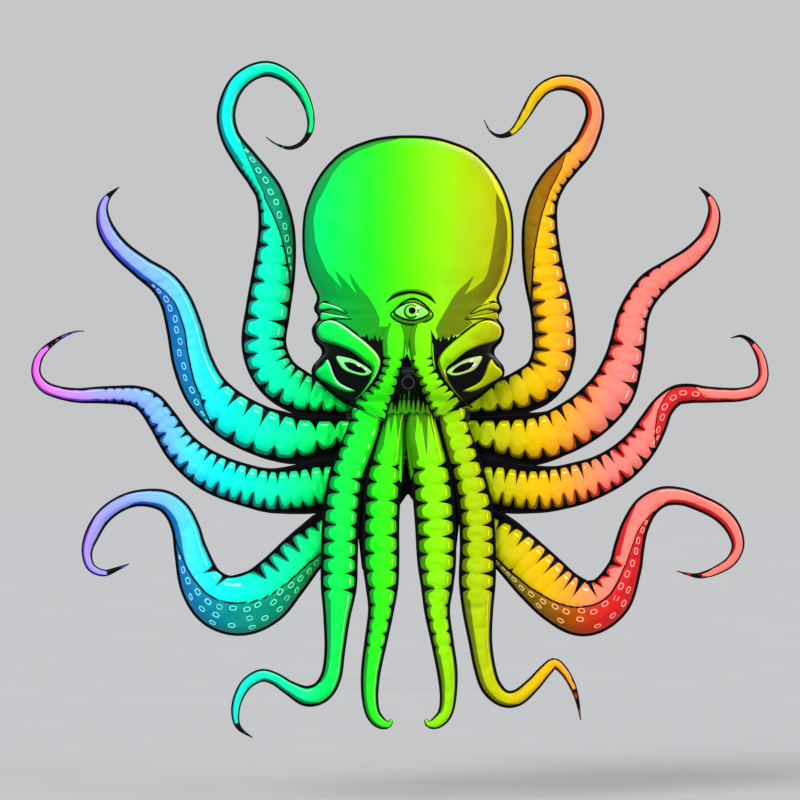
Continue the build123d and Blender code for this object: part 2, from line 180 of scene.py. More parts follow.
def paint(piece, xs, black=None, shade=None, high=None, cloth=None, lift=None):
    """Gives every point its lit tone, its darker tone (painted shade, and the undersides' own
    colour), its painted highlight tone and the fields that choose between them.
    """
    xs = np.asarray(xs, float)
    light = tone(LIGHT_TONES, xs)
    if lift is not None:
        light = light * (1 - lift) + lift
    set_color(piece, "light", light)
    set_color(piece, "dark", tone(DARK_TONES, xs))
    # Painted highlight tone: pale, turning warm on the red side.
    highlight_tone = linear(np.stack([np.interp(xs, [-200, 100], [.62, 1.0]), np.full(len(xs), 1.0),
                            np.interp(xs, *HIGHLIGHT_BLUE)], axis=1))
    warm = np.clip((xs - 300) / 100, 0, 1)[:, None]
    set_color(piece, "highlight_tone", highlight_tone * (1 - warm) + linear((1.0, .84, .80)) * warm)
    for name, field in (("f_black", black), ("f_shade", shade), ("f_highlight", high)):
        values = np.full(len(xs), OFF) if field is None else field
        set_layer(piece, name, "FLOAT", "value", values)
    if cloth is None:
        points = np.empty(len(xs) * 3, np.float32)
        piece.data.vertices.foreach_get("co", points)
        cloth = points.reshape(-1, 3)[:, [0, 2, 1]] / MM
    cover(piece, "print_and_painted_light", cloth)


# ---------------------------------------------------------------- materials
class Graph:
    """Short way to write a node tree."""

    def __init__(self, name):
        self.material = bpy.data.materials.new(name)
        self.material.use_nodes = True
        self.tree = self.material.node_tree
        self.shader = self.tree.nodes["Principled BSDF"]

    def add(self, kind, **settings):
        node = self.tree.nodes.new(kind)
        for key, value in settings.items():
            setattr(node, key, value)
        return node

    def link(self, source, target):
        self.tree.links.new(source, target)

    def put(self, socket, value):
        if isinstance(value, bpy.types.NodeSocket):
            self.link(value, socket)
        else:
            socket.default_value = value

    def attribute(self, name, output="Fac"):
        return self.add("ShaderNodeAttribute", attribute_name=name).outputs[output]

    def math(self, operation, a, b=0.0, c=0.0):
        node = self.add("ShaderNodeMath", operation=operation)
        for socket, value in zip(node.inputs, (a, b, c)):
            self.put(socket, value)
        return node.outputs[0]

    def step(self, value, low, high, out_low=0.0, out_high=1.0):
        node = self.add("ShaderNodeMapRange", interpolation_type="SMOOTHSTEP")
        for socket, number in zip(node.inputs, (value, low, high, out_low, out_high)):
            self.put(socket, number)
        return node.outputs[0]

    def mix(self, factor, a, b):
        node = self.add("ShaderNodeMix", data_type="RGBA")
        self.put(node.inputs[0], factor)
        self.put(node.inputs[6], a)
        self.put(node.inputs[7], b)
        return node.outputs[2]

    def noise(self, vector, scale, detail=3.0, roughness=0.5):
        node = self.add("ShaderNodeTexNoise")
        self.link(vector, node.inputs["Vector"])
        node.inputs["Scale"].default_value = scale
        node.inputs["Detail"].default_value = detail
        node.inputs["Roughness"].default_value = roughness
        return node.outputs["Fac"]

    def bump(self, height, distance, strength=1.0, before=None):
        node = self.add("ShaderNodeBump")
        node.inputs["Strength"].default_value = strength
        node.inputs["Distance"].default_value = distance
        self.link(height, node.inputs["Height"])
        if before is not None:
            self.link(before, node.inputs["Normal"])
        return node.outputs["Normal"]

    def split(self, vector):
        node = self.add("ShaderNodeSeparateXYZ")
        self.link(vector, node.inputs[0])
        return node.outputs

    def place(self):
        return self.add("ShaderNodeTexCoord").outputs["Object"]

    def ripstop(self, cloth):
        """Raised threads of a ripstop grid plus the fine plain weave between them."""
        lines = []
        weave = []
        split = self.split(cloth)
        for i in (0, 1):
            along = self.math("PINGPONG", split[i], RIP_PITCH / 2)
            lines.append(self.step(along, 0.0, 0.55, 1.0, 0.0))
            weave.append(self.math("SINE", self.math("MULTIPLY", split[i], 9.0)))
        grid = self.math("MAXIMUM", lines[0], lines[1])
        fine = self.math("MULTIPLY", weave[0], weave[1])
        return grid, self.math("MULTIPLY_ADD", fine, 0.18, grid)

    def set(self, **values):
        """Sets the shader's inputs, to numbers or from other nodes."""
        for key, value in values.items():
            self.put(self.shader.inputs[key.replace("_", " ")], value)
        return self.material


def plain(name, color, roughness):
    graph = Graph(name)
    tint = graph.step(graph.noise(graph.place(), 3.0), 0.3, 0.7)
    shaded = tuple(0.97 * c for c in color)
    return graph.set(Base_Color=graph.mix(tint, (*color, 1), (*shaded, 1)),
                     Roughness=roughness, Specular_IOR_Level=0.0)


def ripstop_print_and_painted_light():
    """Lit tone, painted shade, painted highlight and black print chosen by the fields, on ripstop
    nylon.
    """
    graph = Graph("ripstop_print_and_painted_light")
    cloth = graph.attribute("cloth", "Vector")

    def mix_by_field(field, under, over):
        return graph.mix(graph.step(graph.attribute(field), -0.25, 0.25), under, over)

    # Painted shade over the lit tone, then the painted highlight.
    color = mix_by_field("f_shade", graph.attribute("light", "Color"),
                    graph.attribute("dark", "Color"))
    color = mix_by_field("f_highlight", color, graph.attribute("highlight_tone", "Color"))
    grid, weave = graph.ripstop(cloth)
    worn = graph.noise(cloth, 0.02, 4.0, 0.6)
    color = graph.mix(graph.math("MULTIPLY", grid, 0.06), color, (0.0, 0.02, 0.02, 1))
    color = graph.mix(graph.step(worn, 0.40, 0.75, 0.0, 0.006), color, (1, 1, 1, 1))
    crinkle = graph.bump(graph.noise(cloth, 0.09, 5.0, 0.55), 0.0016, 0.45)
    return graph.set(Base_Color=mix_by_field("f_black", color, INK),
                     Roughness=graph.step(worn, 0.2, 0.8, 0.44, 0.58),
                     Normal=graph.bump(weave, 0.00025, 0.35, crinkle),
                     Specular_IOR_Level=0.07, Sheen_Weight=0.006, Sheen_Roughness=0.4)


def black_ripstop():
    graph = Graph("black_ripstop")
    grid, weave = graph.ripstop(graph.attribute("cloth", "Vector"))
    return graph.set(Base_Color=graph.mix(grid, INK, (0.007, 0.007, 0.008, 1)),
                     Normal=graph.bump(weave, 0.00025, 0.6), Roughness=0.7,
                     Specular_IOR_Level=0.04)


def black_tape():
    """Binding tape: ribbed weave with a row of stitches beside each edge."""
    graph = Graph("black_tape")
    over, along = graph.split(graph.attribute("cloth", "Vector"))[:2]
    rib = graph.math("SINE", graph.math("MULTIPLY", along, 7.0))
    dash = graph.step(graph.math("PINGPONG", along, 2.0), 0.55, 0.8)
    row = graph.step(graph.math("ABSOLUTE", graph.math("SUBTRACT", over, 2.2)),
                     0.3, 0.5, 1.0, 0.0)
    stitch = graph.math("MULTIPLY", dash, row)
    return graph.set(Base_Color=graph.mix(stitch, (0.003, 0.003, 0.004, 1),
                                          (0.02, 0.02, 0.022, 1)),
                     Normal=graph.bump(stitch, 0.0006, 0.8, graph.bump(rib, 0.0002, 0.5)),
                     Roughness=0.8, Specular_IOR_Level=0.04, Sheen_Weight=0.004)


def rod_material():
    graph = Graph("fibreglass_rod")
    fibre = graph.noise(graph.place(), 900.0, 2.0)
    return graph.set(Base_Color=graph.mix(graph.step(fibre, 0.3, 0.75), (0.006, 0.006, 0.007, 1),
                                          (0.03, 0.03, 0.033, 1)),
                     Normal=graph.bump(fibre, 0.0001, 0.3), Roughness=0.32,
                     Specular_IOR_Level=0.3, Coat_Weight=0.2, Coat_Roughness=0.15)


def moulded_plastic():
    graph = Graph("moulded_plastic")
    worn = graph.noise(graph.place(), 60.0, 3.0)
    grain = graph.noise(graph.place(), 700.0, 4.0)
    return graph.set(Base_Color=graph.mix(graph.step(worn, 0.4, 0.75), (0.004, 0.004, 0.005, 1),
                                          (0.014, 0.014, 0.016, 1)),
                     Roughness=graph.step(worn, 0.3, 0.8, 0.42, 0.6),
                     Normal=graph.bump(grain, 0.0002, 0.4), Specular_IOR_Level=0.2)


def steel():
    """Black-oxide steel, worn lighter in fine scratches."""
    graph = Graph("steel")
    brushed = graph.noise(graph.place(), 1200.0, 3.0)
    return graph.set(Base_Color=graph.mix(brushed, (0.02, 0.02, 0.023, 1),
                                          (0.06, 0.06, 0.066, 1)),
                     Roughness=graph.step(brushed, 0.2, 0.8, 0.22, 0.38),
                     Normal=graph.bump(brushed, 0.00008, 0.4), Metallic=1.0)


# ---------------------------------------------------------------- tentacle routes
TENTACLES = {
    "upper_left": [
        (-136, -60, 26), (-172, -50, 34), (-220, -37, 42), (-266, -4, 45), (-288, 54, 45),
        (-280, 124, 45), (-268, 204, 43), (-263, 284, 37), (-275, 350, 29), (-297, 388, 26),
        (-326, 426, 24), (-354, 468, 20), (-364, 510, 19), (-356, 550, 18), (-338, 580, 18),
        (-310, 600, 17), (-278, 606, 16), (-244, 592, 14), (-216, 564, 12), (-198, 526, 9),
        (-195, 488, 7), (-210, 460, 5), (-236, 448, 4), (-264, 456, 2), (-284, 470, 1)],
    "second_left": [
        (-136, -122, 30), (-180, -128, 36), (-236, -132, 46), (-296, -117, 50),
        (-358, -84, 49), (-404, -38, 45), (-431, 20, 41), (-446, 84, 37), (-464, 140, 32),
        (-490, 178, 28), (-532, 209, 23), (-574, 244, 20), (-602, 282, 18), (-611, 320, 12),
        (-602, 348, 7), (-578, 370, 1)],
    "third_left": [
        (-136, -222, 38), (-176, -227, 43), (-216, -234, 43), (-276, -237, 43),
        (-336, -223, 42), (-384, -205, 41), (-423, -181, 38), (-458, -147, 34),
        (-490, -98, 30), (-516, -64, 27), (-544, -49, 22), (-580, -46, 19), (-620, -46, 17),
        (-660, -47, 15), (-698, -41, 13), (-727, -29, 12), (-743, -6, 10), (-741, 22, 9),
        (-725, 46, 7), (-696, 68, 4), (-668, 80, 2), (-648, 82, 1)],
    "lower_left": [
        (-138, -306, 30), (-180, -340, 40), (-216, -371, 47), (-254, -413, 53),
        (-292, -449, 60), (-336, -466, 62), (-380, -456, 57), (-414, -420, 45),
        (-434, -360, 34), (-444, -316, 29), (-461, -280, 26), (-490, -257, 22),
        (-536, -252, 17), (-576, -264, 16), (-610, -290, 16), (-632, -326, 15),
        (-642, -360, 11), (-634, -390, 9), (-608, -402, 7), (-580, -393, 4), (-558, -384, 1)],
    "upper_right": [
        (136, -60, 26), (180, -50, 34), (226, -37, 40), (272, -10, 44), (290, 30, 44),
        (292, 70, 44), (287, 124, 43), (274, 184, 42), (266, 244, 39), (264, 300, 35),
        (272, 346, 30), (292, 384, 27), (320, 416, 25), (348, 446, 23), (366, 482, 21),
        (374, 516, 19), (366, 548, 18), (344, 571, 18), (308, 579, 16), (276, 570, 14),
        (254, 548, 13), (236, 518, 11), (218, 490, 8), (202, 476, 6), (182, 472, 4),
        (164, 482, 2), (152, 504, 1)],
    "second_right": [
        (136, -121, 30), (166, -126, 35), (204, -132, 42), (244, -134, 46), (286, -126, 48),
        (328, -107, 49), (370, -78, 49), (408, -36, 47), (430, 18, 40), (441, 64, 36),
        (448, 104, 33), (464, 142, 30), (488, 174, 29), (526, 203, 24), (566, 231, 21),
        (596, 264, 18), (610, 300, 15), (611, 328, 11), (600, 352, 6), (582, 370, 1)],
    "third_right": [
        (136, -222, 38), (184, -228, 43), (224, -235, 43), (266, -236, 44), (306, -231, 44),
        (346, -221, 43), (386, -206, 40), (427, -182, 38), (464, -146, 34), (488, -108, 30),
        (508, -72, 24), (534, -48, 21), (562, -43, 20), (594, -45, 17), (630, -46, 15),
        (664, -45, 14), (694, -36, 13), (710, -12, 11), (708, 20, 10), (698, 44, 8),
        (682, 64, 5), (665, 72, 3), (646, 68, 1)],
    "lower_right": [
        (138, -306, 30), (184, -338, 44), (224, -372, 51), (264, -412, 55), (308, -452, 56),
        (354, -472, 57), (402, -450, 48), (432, -396, 35), (442, -352, 31), (453, -312, 28),
        (475, -272, 25), (508, -250, 21), (546, -249, 18), (584, -262, 17), (621, -281, 17),
        (648, -309, 16), (660, -346, 13), (646, -378, 11), (614, -398, 9), (584, -407, 6),
        (562, -405, 3), (538, -398, 1)],
    "front_outer_left": [
        (-81, -79, 32), (-89.5, -116, 31.5), (-105, -160, 34), (-124, -216, 36), (-134, -296, 37),
        (-137, -376, 37), (-138, -430, 36), (-142, -490, 27), (-146, -556, 21),
        (-153, -606, 21), (-172, -637, 22), (-202, -646, 21), (-236, -630, 15),
        (-266, -611, 13), (-293, -605, 13), (-322, -622, 12), (-340, -654, 10),
        (-344, -686, 8), (-336, -710, 5), (-310, -729, 1)],
    "front_inner_left": [
        (-24, -79, 20), (-32, -116, 22), (-40, -160, 29), (-49, -216, 36), (-54, -296, 37),
        (-54, -376, 37), (-52, -426, 33), (-54, -476, 26), (-64, -536, 23), (-74, -596, 20),
        (-76, -646, 17), (-70, -680, 15), (-56, -698, 13), (-40, -703, 8), (-32, -693, 3)],
    "front_inner_right": [
        (25, -79, 28), (28, -116, 33), (37, -160, 38), (47, -216, 41), (54, -296, 41),
        (57, -376, 39), (58, -426, 33), (58, -476, 26), (68, -536, 23), (78, -596, 21),
        (80, -646, 17), (74, -680, 15), (58, -698, 13), (42, -702, 8), (34, -692, 3)],
    "front_outer_right": [
        (86, -79, 29), (94.5, -116, 28.5), (107, -160, 31), (123, -216, 33), (135, -276, 35),
        (139, -346, 36), (138, -416, 37), (139, -476, 31), (144, -536, 24), (152, -586, 22),
        (165, -626, 21), (190, -650, 18), (218, -649, 17), (248, -624, 15), (274, -595, 13),
        (292, -581, 11), (312, -598, 9), (328, -626, 7), (338, -658, 4), (344, -694, 1)],
}

# Rings: from station, to station, pitch, how deep the creases reach on the two edges.
RINGS = {
    "upper_left": [(0.2, 4.2, 27, .66, .7), (4.2, 7.6, 35, .62, .66), (7.6, 8.4, 26, .3, .55),
                   (8.4, 9.9, 15, .1, .5)],
    "second_left": [(0.2, 5.4, 40, .72, .66)],
    "third_left": [(0.2, 8.0, 23, .66, .6), (8.0, 9.8, 20, .5, .4), (9.8, 12.0, 16, .34, .2)],
    "lower_left": [(0.2, 3.9, 27, .4, .75), (6.5, 7.9, 34, .2, .6)],
    "upper_right": [(0.2, 3.5, 30, .66, .6), (3.5, 10.0, 33, .66, .6), (10.0, 13.0, 20, .2, .4)],
    "second_right": [(0.2, 5.5, 29, .66, .66), (5.5, 9.6, 36, .6, .64), (9.6, 13.2, 26, .25, .4)],
    "third_right": [(0.2, 9.2, 24, .7, .66)],
    "lower_right": [(0.2, 4.8, 27, .75, .4), (5.6, 7.8, 32, .6, .3)],
    "front_outer_left": [(0.6, 2.9, 30, 0, .5), (2.9, 6.6, 34, .58, .6)],
    "front_inner_left": [(2.5, 6.8, 36, .6, .62), (6.8, 8.6, 26, .35, .3)],
    "front_inner_right": [(2.6, 6.8, 36, .62, .68), (6.8, 8.6, 26, .3, .35)],
    "front_outer_right": [(0.6, 2.4, 30, .6, 0), (2.4, 6.8, 33, .66, .6)],
}

# Undersides: side of the tentacle, then station and seam position across (-1 to 1).
UNDERSIDES = {
    "upper_left": (-1, [(5.6, -1), (6, -.84), (6.75, -.36), (7.4, .1), (8, .5), (9, .3),
                        (10, -.3), (10.7, -1)]),
    "second_left": (1, [(4.1, 1), (4.4, .75), (5, .36), (6, .12), (7, 0), (8, .1), (9, .55),
                        (9.7, 1)]),
    "lower_left": (1, [(.2, 1), (1, .63), (2, .5), (3, .3), (4, .06), (5, -.11), (6, -.04),
                       (7, .15), (8, .7), (8.7, 1)]),
    "upper_right": (1, [(6.4, 1), (7, .74), (8, .41), (9, 0), (10, -.25), (11, -.14),
                        (11.6, .15), (12.3, 1)]),
    "third_right": (-1, [(8.3, -1), (9, -.3), (10, .3), (11, .95), (12.4, .95), (13.2, -1)]),
    "lower_right": (-1, [(.4, -1), (1, -.78), (2, -.74), (3, -.55), (4, -.24), (5, .1),
                         (6, .1), (7, .1), (8, -.17), (9, -.4), (10.3, -1)]),
}
SUCKER_ROWS = {"upper_left": 1, "second_left": 1, "third_right": 1, "lower_left": 3,
               "lower_right": 3}
SHADE_FROM = np.array((-0.8, -0.6))                 # the painted shade lies on this side, away from the light; painted highlights on the other


def spline(ends, per):
    """Smooth curve's points between the middle two of each four in a row."""
    t = np.arange(per)[:, None] / per
    rows = []
    for i in range(len(ends) - 3):
        p0, p1, p2, p3 = ends[i:i + 4]
        rows.append(0.5 * (2 * p1 + (p2 - p0) * t + (2 * p0 - 5 * p1 + 4 * p2 - p3) * t ** 2
                           + (3 * p1 - p0 - 3 * p2 + p3) * t ** 3))
    return np.vstack(rows)


class Route:
    """Smooth centre line and half width through the stations, by length along it."""

    def __init__(self, stations, lead=None):
        data = np.asarray(stations, float)
        if lead is not None:
            data = np.vstack([lead, data])
        self.lead = 0 if lead is None else 1
        ends = np.vstack([2 * data[0] - data[1], data, 2 * data[-1] - data[-2]])
        self.per = 24
        self.data = np.vstack([spline(ends, self.per), data[-1:]])
        steps = np.hypot(*np.diff(self.data[:, :2], axis=0).T)
        self.along = np.concatenate([[0], np.cumsum(steps)])
        self.length = self.along[-1]
        run = np.gradient(self.data[:, :2], self.along, axis=0)
        self.run = run / np.linalg.norm(run, axis=1)[:, None]

    def station(self, number):
        place = (number + self.lead) * self.per
        return np.interp(place, np.arange(len(self.along)), self.along)

    def at(self, s):
        """Centre (x, z), half width and the unit vector across, at lengths s."""
        x, z, half = (np.interp(s, self.along, self.data[:, i]) for i in range(3))
        run = np.stack([np.interp(s, self.along, self.run[:, i]) for i in (0, 1)], axis=-1)
        run /= np.linalg.norm(run, axis=-1)[..., None]
        return x, z, np.maximum(half, 1.0), np.stack([-run[..., 1], run[..., 0]], axis=-1)


def crease_rows(route, rings):
    """Lengths of the creases, with their reach from each edge."""
    creases = []
    for start, end, pitch, reach, other in rings:
        low, high = route.station(start), route.station(end)
        count = max(2, round((high - low) / pitch))
        for i in range(count):
            creases.append((low + (high - low) * i / count, reach, other))
    return np.array(creases)


def row_lengths(route, creases):
    """Mesh rows: each crease has its own row, with others ROW_STEP apart between."""
    marks = np.concatenate([[0.0], creases[:, 0], [route.length]])
    rows = []
    for low, high in zip(marks[:-1], marks[1:]):
        count = max(2, int(round((high - low) / ROW_STEP)))
        rows.append(low + (high - low) * np.arange(count) / count)
    return np.unique(np.concatenate(rows + [[route.length]]))


ACROSS = 37                                          # points across the front of a skin


def lobe_end(t):
    """How much of a lobe's length is left at t of the way from a crease's tip to the edge."""
    t = np.clip(t, 0, 1)
    return 1 - 0.48 * t ** 1.4 - 0.52 * (1 - np.sqrt(1 - t ** 4))


def skin_fields(route, rows, across, creases, underside, rng, tips=6.5, heavy=0.0):
    """Fields of the print, the painted shade and the painted highlight for a grid of rows by
    points across.
    """
    s = rows[:, None]
    a = across[None, :]
    half, normal = route.at(rows)[2:]
    gap = np.abs(s[:, :, None] - creases[None, None, :, 0])
    nearest = gap.argmin(axis=2)[:, 0]
    distance = gap.min(axis=2)
    places = creases[:, 0]
    spans = np.gradient(places) if len(places) > 1 else np.array([20.0])
    pitch = np.minimum(spans, 46)[nearest][:, None]
    wobble = rng.uniform(0.55, 1.25, (len(creases), 2))
    reach = np.where(a > 0, creases[nearest, 1][:, None] * wobble[nearest, 0][:, None],
                     creases[nearest, 2][:, None] * wobble[nearest, 1][:, None])
    tip = 1.0 - np.clip(1.12 * reach, 0.0, 0.92)
    outer = np.abs(a)
    share = np.where(reach > 0.02, (outer - tip) / np.maximum(1.03 - tip, 0.02), 0)
    base = 0.62 * pitch / 2
    wedge = base * (1 - lobe_end(share)) + 1.1 * np.sqrt(np.clip(share, 0, 1)) - distance
    wedge = np.where((share > 0) & (reach > 0.02), wedge, -3 - 10 * np.abs(share))
    # Painted shade on the side turned away from the light: crescents at the lobe ends and a strip
    # along the edge; painted highlight on the lit side.
    facing = (normal @ SHADE_FROM)[:, None]
    on_shade = a * facing
    first, last = places[0], places[-1]
    ringed = (s > first - 0.6 * pitch) & (s < last + 0.6 * pitch)
    grown = np.clip(share + 0.30 * 30 / np.maximum(half, 12)[:, None], 0, 1)
    taper = np.clip((outer - tip + 0.10) / 0.30, 0, 1)
    shade_crescent = (1.15 * base * (1 - lobe_end(grown)) + 3.2) * taper - distance - 3 * (1 - taper)
    shade_crescent = np.where(on_shade > 0.25 * np.abs(facing), shade_crescent, -4.0)
    near_crease = np.clip(1 - 2 * distance / pitch, 0, 1) ** 2
    bound = 0.82 - heavy * (0.45 + 0.85 * near_crease)
    strip = (on_shade - bound * np.abs(facing) - 0.10 * (1 - np.abs(facing))) * half[:, None]
    plain_strip = (on_shade - 0.48 * np.abs(facing) - 0.2 * (1 - np.abs(facing))) * half[:, None]
    shade = np.where(ringed, np.maximum(shade_crescent, strip), plain_strip)
    # Painted highlight: dashes on the ringed parts, a thin line elsewhere.
    away = -on_shade / np.maximum(np.abs(facing), 0.05)
    dash = 1 - ((away - 0.74) / 0.055) ** 2 - (np.maximum(pitch / 2 - distance, 0)
                                              / (0.24 * pitch)) ** 2
    highlight_line = 1 - ((away - 0.76) / 0.045) ** 2
    high = np.where(ringed, dash * 2.0, highlight_line * 1.2)
    high = np.where((np.abs(facing) > 0.3) & (half[:, None] > 8), high, -5.0)
    tip_black = (tips - half)[:, None] + 0 * a if tips else np.full(wedge.shape, OFF)
    black = np.maximum(wedge, tip_black)
    under = np.full(black.shape, OFF)
    if underside:
        which, seam = underside
        seam = np.asarray(seam, float)
        position = np.interp(rows, [route.station(n) for n in seam[:, 0]], seam[:, 1],
                             left=which * 1.5, right=which * 1.5)[:, None]
        under = which * (a - position) * half[:, None]
        black = np.where(under > 0, tip_black, black)
        black = np.maximum(black, np.clip(half[:, None] / 18, 1.1, 2.4) - np.abs(under))
        # The underside takes the darker tone as its own colour.
        shade = np.maximum(shade, under)
        high = np.where(under > -2, -5.0, high)
    return {"black": black, "shade": shade, "high": high, "under": under, "reach": reach,
            "distance": distance, "pitch": pitch, "half": half, "share": share, "ringed": ringed}


def puffed_rows(route, rings, depth_of, surface, underside, rng, tips=6.5, band=BAND,
                heavy=0.0):
    """Grid of points for a puffed, ringed front over a surface, and its fields."""
    creases = crease_rows(route, rings)
    rows = row_lengths(route, creases)
    across = np.sin(np.linspace(-math.pi / 2, math.pi / 2, ACROSS))
    fields = skin_fields(route, rows, across, creases, underside, rng, tips, heavy)
    x, z, half, normal = route.at(rows)
    thin = 1.0 - 0.7 * heavy / 0.30 * (1 - smooth_step(rows, 20, 130)) if heavy > 0.1 else 1.0
    inner = (half - np.minimum(band, 0.3 * half) * thin)[:, None]
    depth = depth_of(route, half, rows)[:, None]
    outer = np.abs(across)[None, :]
    covered = fields["under"] > 0
    lobe = np.clip(fields["distance"] / (fields["pitch"] / 2), 0, 1)
    swell = np.where(fields["ringed"], np.sqrt(np.clip(1 - (1 - lobe) ** 2.2, 0, 1)), 1.0)
    swell = np.where(covered, 1.0 - 0.2 * (1 - swell), swell)
    cut = np.clip(outer - 0.15 - 0.5 * (1 - np.clip(fields["reach"] / 0.6, 0, 1)), 0, 1)
    depth = depth * (1 - (1 - swell) * (0.07 + 0.34 * cut))
    groove = np.exp(-(fields["under"] / 2.8) ** 2) * np.where(fields["under"] > -8.9, 1, 0)
    depth = depth * (1 - 0.12 * groove)
    reach = across[None, :] * inner * (1 - 0.06 * (1 - swell) * cut)
    square = 2.3 + (4.5 * (1 - smooth_step(rows, 20, 90))[:, None] if band == BAND else 0.7)
    dome = np.sqrt(np.clip(1 - outer ** square, 0, 1))
    wrinkle = sum(np.sin(rows[:, None] * rng.uniform(0.10, 0.32) + rng.uniform(0, 6.3)
                         + across[None, :] * rng.uniform(-2.5, 2.5)) for _ in range(5))
    rise = depth * dome + 0.22 * wrinkle * dome * np.minimum(half / 30, 1)[:, None]
    px = x[:, None] + normal[:, :1] * reach
    pz = z[:, None] + normal[:, 1:] * reach
    py = surface(px, pz) - 0.6 - rise
    front = np.stack([px, py, pz], axis=2)
    if band == BAND:
        front = inflated(front, rows, fields, hanging=heavy > 0.1)
    return rows, front, fields, reach


CLOTH_SETTINGS = {"quality": 5, "mass": 0.05, "tension_stiffness": 20,
                  "compression_stiffness": 20, "shear_stiffness": 8, "bending_stiffness": 0.3,
                  "vertex_group_mass": "sewn", "use_pressure": True,
                  "uniform_pressure_force": 4.0, "shrink_min": -0.03}


def cloth_moves(grid, pinned, cap, closed=False):
    """How pressure moves a sheet of points: a short cloth simulation, capped."""
    n, m = grid.shape[:2]
    sheet = mesh_object("cloth_trial", grid.reshape(-1, 3) * MM, quads(n, m, wide=closed))
    sewn = sheet.vertex_groups.new(name="sewn")
    sewn.add([int(i) for i in np.where(pinned.ravel())[0]], 1.0, "REPLACE")
    cloth = sheet.modifiers.new("cloth", "CLOTH")
    for key, value in CLOTH_SETTINGS.items():
        setattr(cloth.settings, key, value)
    cloth.settings.effector_weights.gravity = 0
    cloth.collision_settings.use_collision = False
    for number in range(1, CLOTH_FRAMES + 1):
        bpy.context.scene.frame_set(number)
    result = sheet.evaluated_get(bpy.context.evaluated_depsgraph_get()).to_mesh()
    points = np.empty(n * m * 3, np.float32)
    result.vertices.foreach_get("co", points)
    bpy.context.scene.frame_set(1)
    mesh = sheet.data
    bpy.data.objects.remove(sheet)
    bpy.data.meshes.remove(mesh)
    moves = np.nan_to_num(points.reshape(n, m, 3) / MM - grid)
    far = np.linalg.norm(moves, axis=2, keepdims=True)
    return moves * np.minimum(1, cap / np.maximum(far, 1e-6))


def spread(moves, rows, columns, all_rows, all_columns):
    """Carries the moves of a coarse grid over to a fine one."""
    tall = np.stack([[np.interp(all_rows, rows, moves[:, j, k]) for k in range(3)]
                     for j in range(len(columns))], axis=0)
    wide = np.stack([[np.interp(all_columns, columns, tall[:, k, i]) for k in range(3)]
                     for i in range(len(all_rows))], axis=0)
    return wide.transpose(0, 2, 1)


def inflated(front, rows, fields, hanging):
    """Front of a skin after a cloth pass, held at its edges and creases."""
    n, m = front.shape[:2]
    sewn = (fields["distance"] < 0.1) & (fields["share"] > 0) & fields["ringed"]
    sewn[[0, -1]] = True
    sewn[:, [0, -1]] = True
    some = np.unique(np.concatenate([np.arange(0, n, 2), [n - 1],
                                     np.where(fields["distance"][:, 0] < 0.1)[0]]))
    columns = np.arange(0, m, 2)
    moves = cloth_moves(front[some][:, columns], sewn[some][:, columns], SKIN_CAP)
    moves = spread(moves, rows[some], columns, rows, np.arange(m))
    if hanging:
        clear = smooth_step(rows, 35, 95)[:, None, None]
        return front + moves * clear * (0, 1, 0)
    return front + moves * SKIN_SHARE


def side_depth(route, half, s, growth=120):
    """Depth for a half width, full once it is the length of growth from the root."""
    return np.minimum(half * BULGE, MAX_BULGE) * (0.62 + 0.38 * np.clip(s / growth, 0, 1))


def front_depth(route, half, s):
    return np.maximum(side_depth(route, half, s, growth=60), 27.0 - 0.12 * s)


def closed_strip(name, rows, front, fields, reach, back_of):
    """Mesh closed round a grid of front points, with its fields."""
    n, m = front.shape[:2]
    share = np.linspace(0, 1, 9)[1:-1]
    left, right = front[:, :1], front[:, -1:]
    back = right + (left - right) * share[None, :, None]
    back[:, :, 1] = back_of(back[:, :, 0], back[:, :, 2])
    ring = np.concatenate([front, back], axis=1)
    columns = ring.shape[1]
    points = ring.reshape(-1, 3)
    faces = quads(n, columns)
    faces.append(tuple(range(columns)))
    faces.append(tuple((n - 1) * columns + j for j in reversed(range(columns))))
    skin = mesh_object(name, points * MM, faces)

    def whole(field, fill):
        return np.concatenate([field, np.full((n, columns - m), fill)], axis=1).ravel()

    flat = np.zeros((n, columns, 3))
    flat[:, :m, 0] = reach
    flat[:, m:, 0] = reach[:, -1:] + (reach[:, :1] - reach[:, -1:]) * share[None, :]
    flat[:, :, 1] = rows[:, None]
    paint(skin, points[:, 0], black=whole(fields["black"], OFF),
          shade=whole(fields["shade"], 9.0), high=whole(fields["high"], OFF),
          cloth=flat.reshape(-1, 3))
    return skin


FRINGE_TOP = -50.0

# Painted shade spikes under the fringe: x at the top, x and z of the point, width at the top.
FRINGE_SHADE = {
    "front_inner_left": [(-40, -52, -166, 16), (-30, -35, -128, 20), (-18, -20, -136, 20),
                         (-10, -11, -184, 12), (-4, -6, -110, 14)],
    "front_inner_right": [(4, 8, -118, 14), (12, 14, -136, 18), (20, 25, -110, 18),
                          (30, 38, -178, 20), (42, 53, -138, 18), (50, 71, -168, 14)],
}
FRINGE_INK = {
    "front_inner_left": [(-38, -50, -128, 7), (-30, -38, -98, 5), (-14, -16, -92, 5),
                         (-6, -6, -96, 4)],
    "front_inner_right": [(12, 15, -94, 5), (24, 30, -96, 5), (34, 42, -104, 5),
                          (45, 62, -128, 7)],
}
# Between those two the edges stay green down to a black point, with a painted shade strip down
# the middle.
BETWEEN = [(-30, -40), (16, -40), (14, -150), (10, -205), (2, -222), (-4, -136), (-13, -222),
           (-24, -205), (-28, -150)]
BETWEEN_SHADE = [(-13, -40), (5, -40), (10, -150), (10, -222), (-2, -222), (-4, -136),
                 (-9, -90)]


def between_fields(points):
    """Black and shade fields of the strip between the inner front tentacles."""
    x, z = points[:, 0], points[:, 2]
    green = inside_distance(np.array(BETWEEN, float), x, z)
    return -green, inside_distance(np.array(BETWEEN_SHADE, float), x, z)


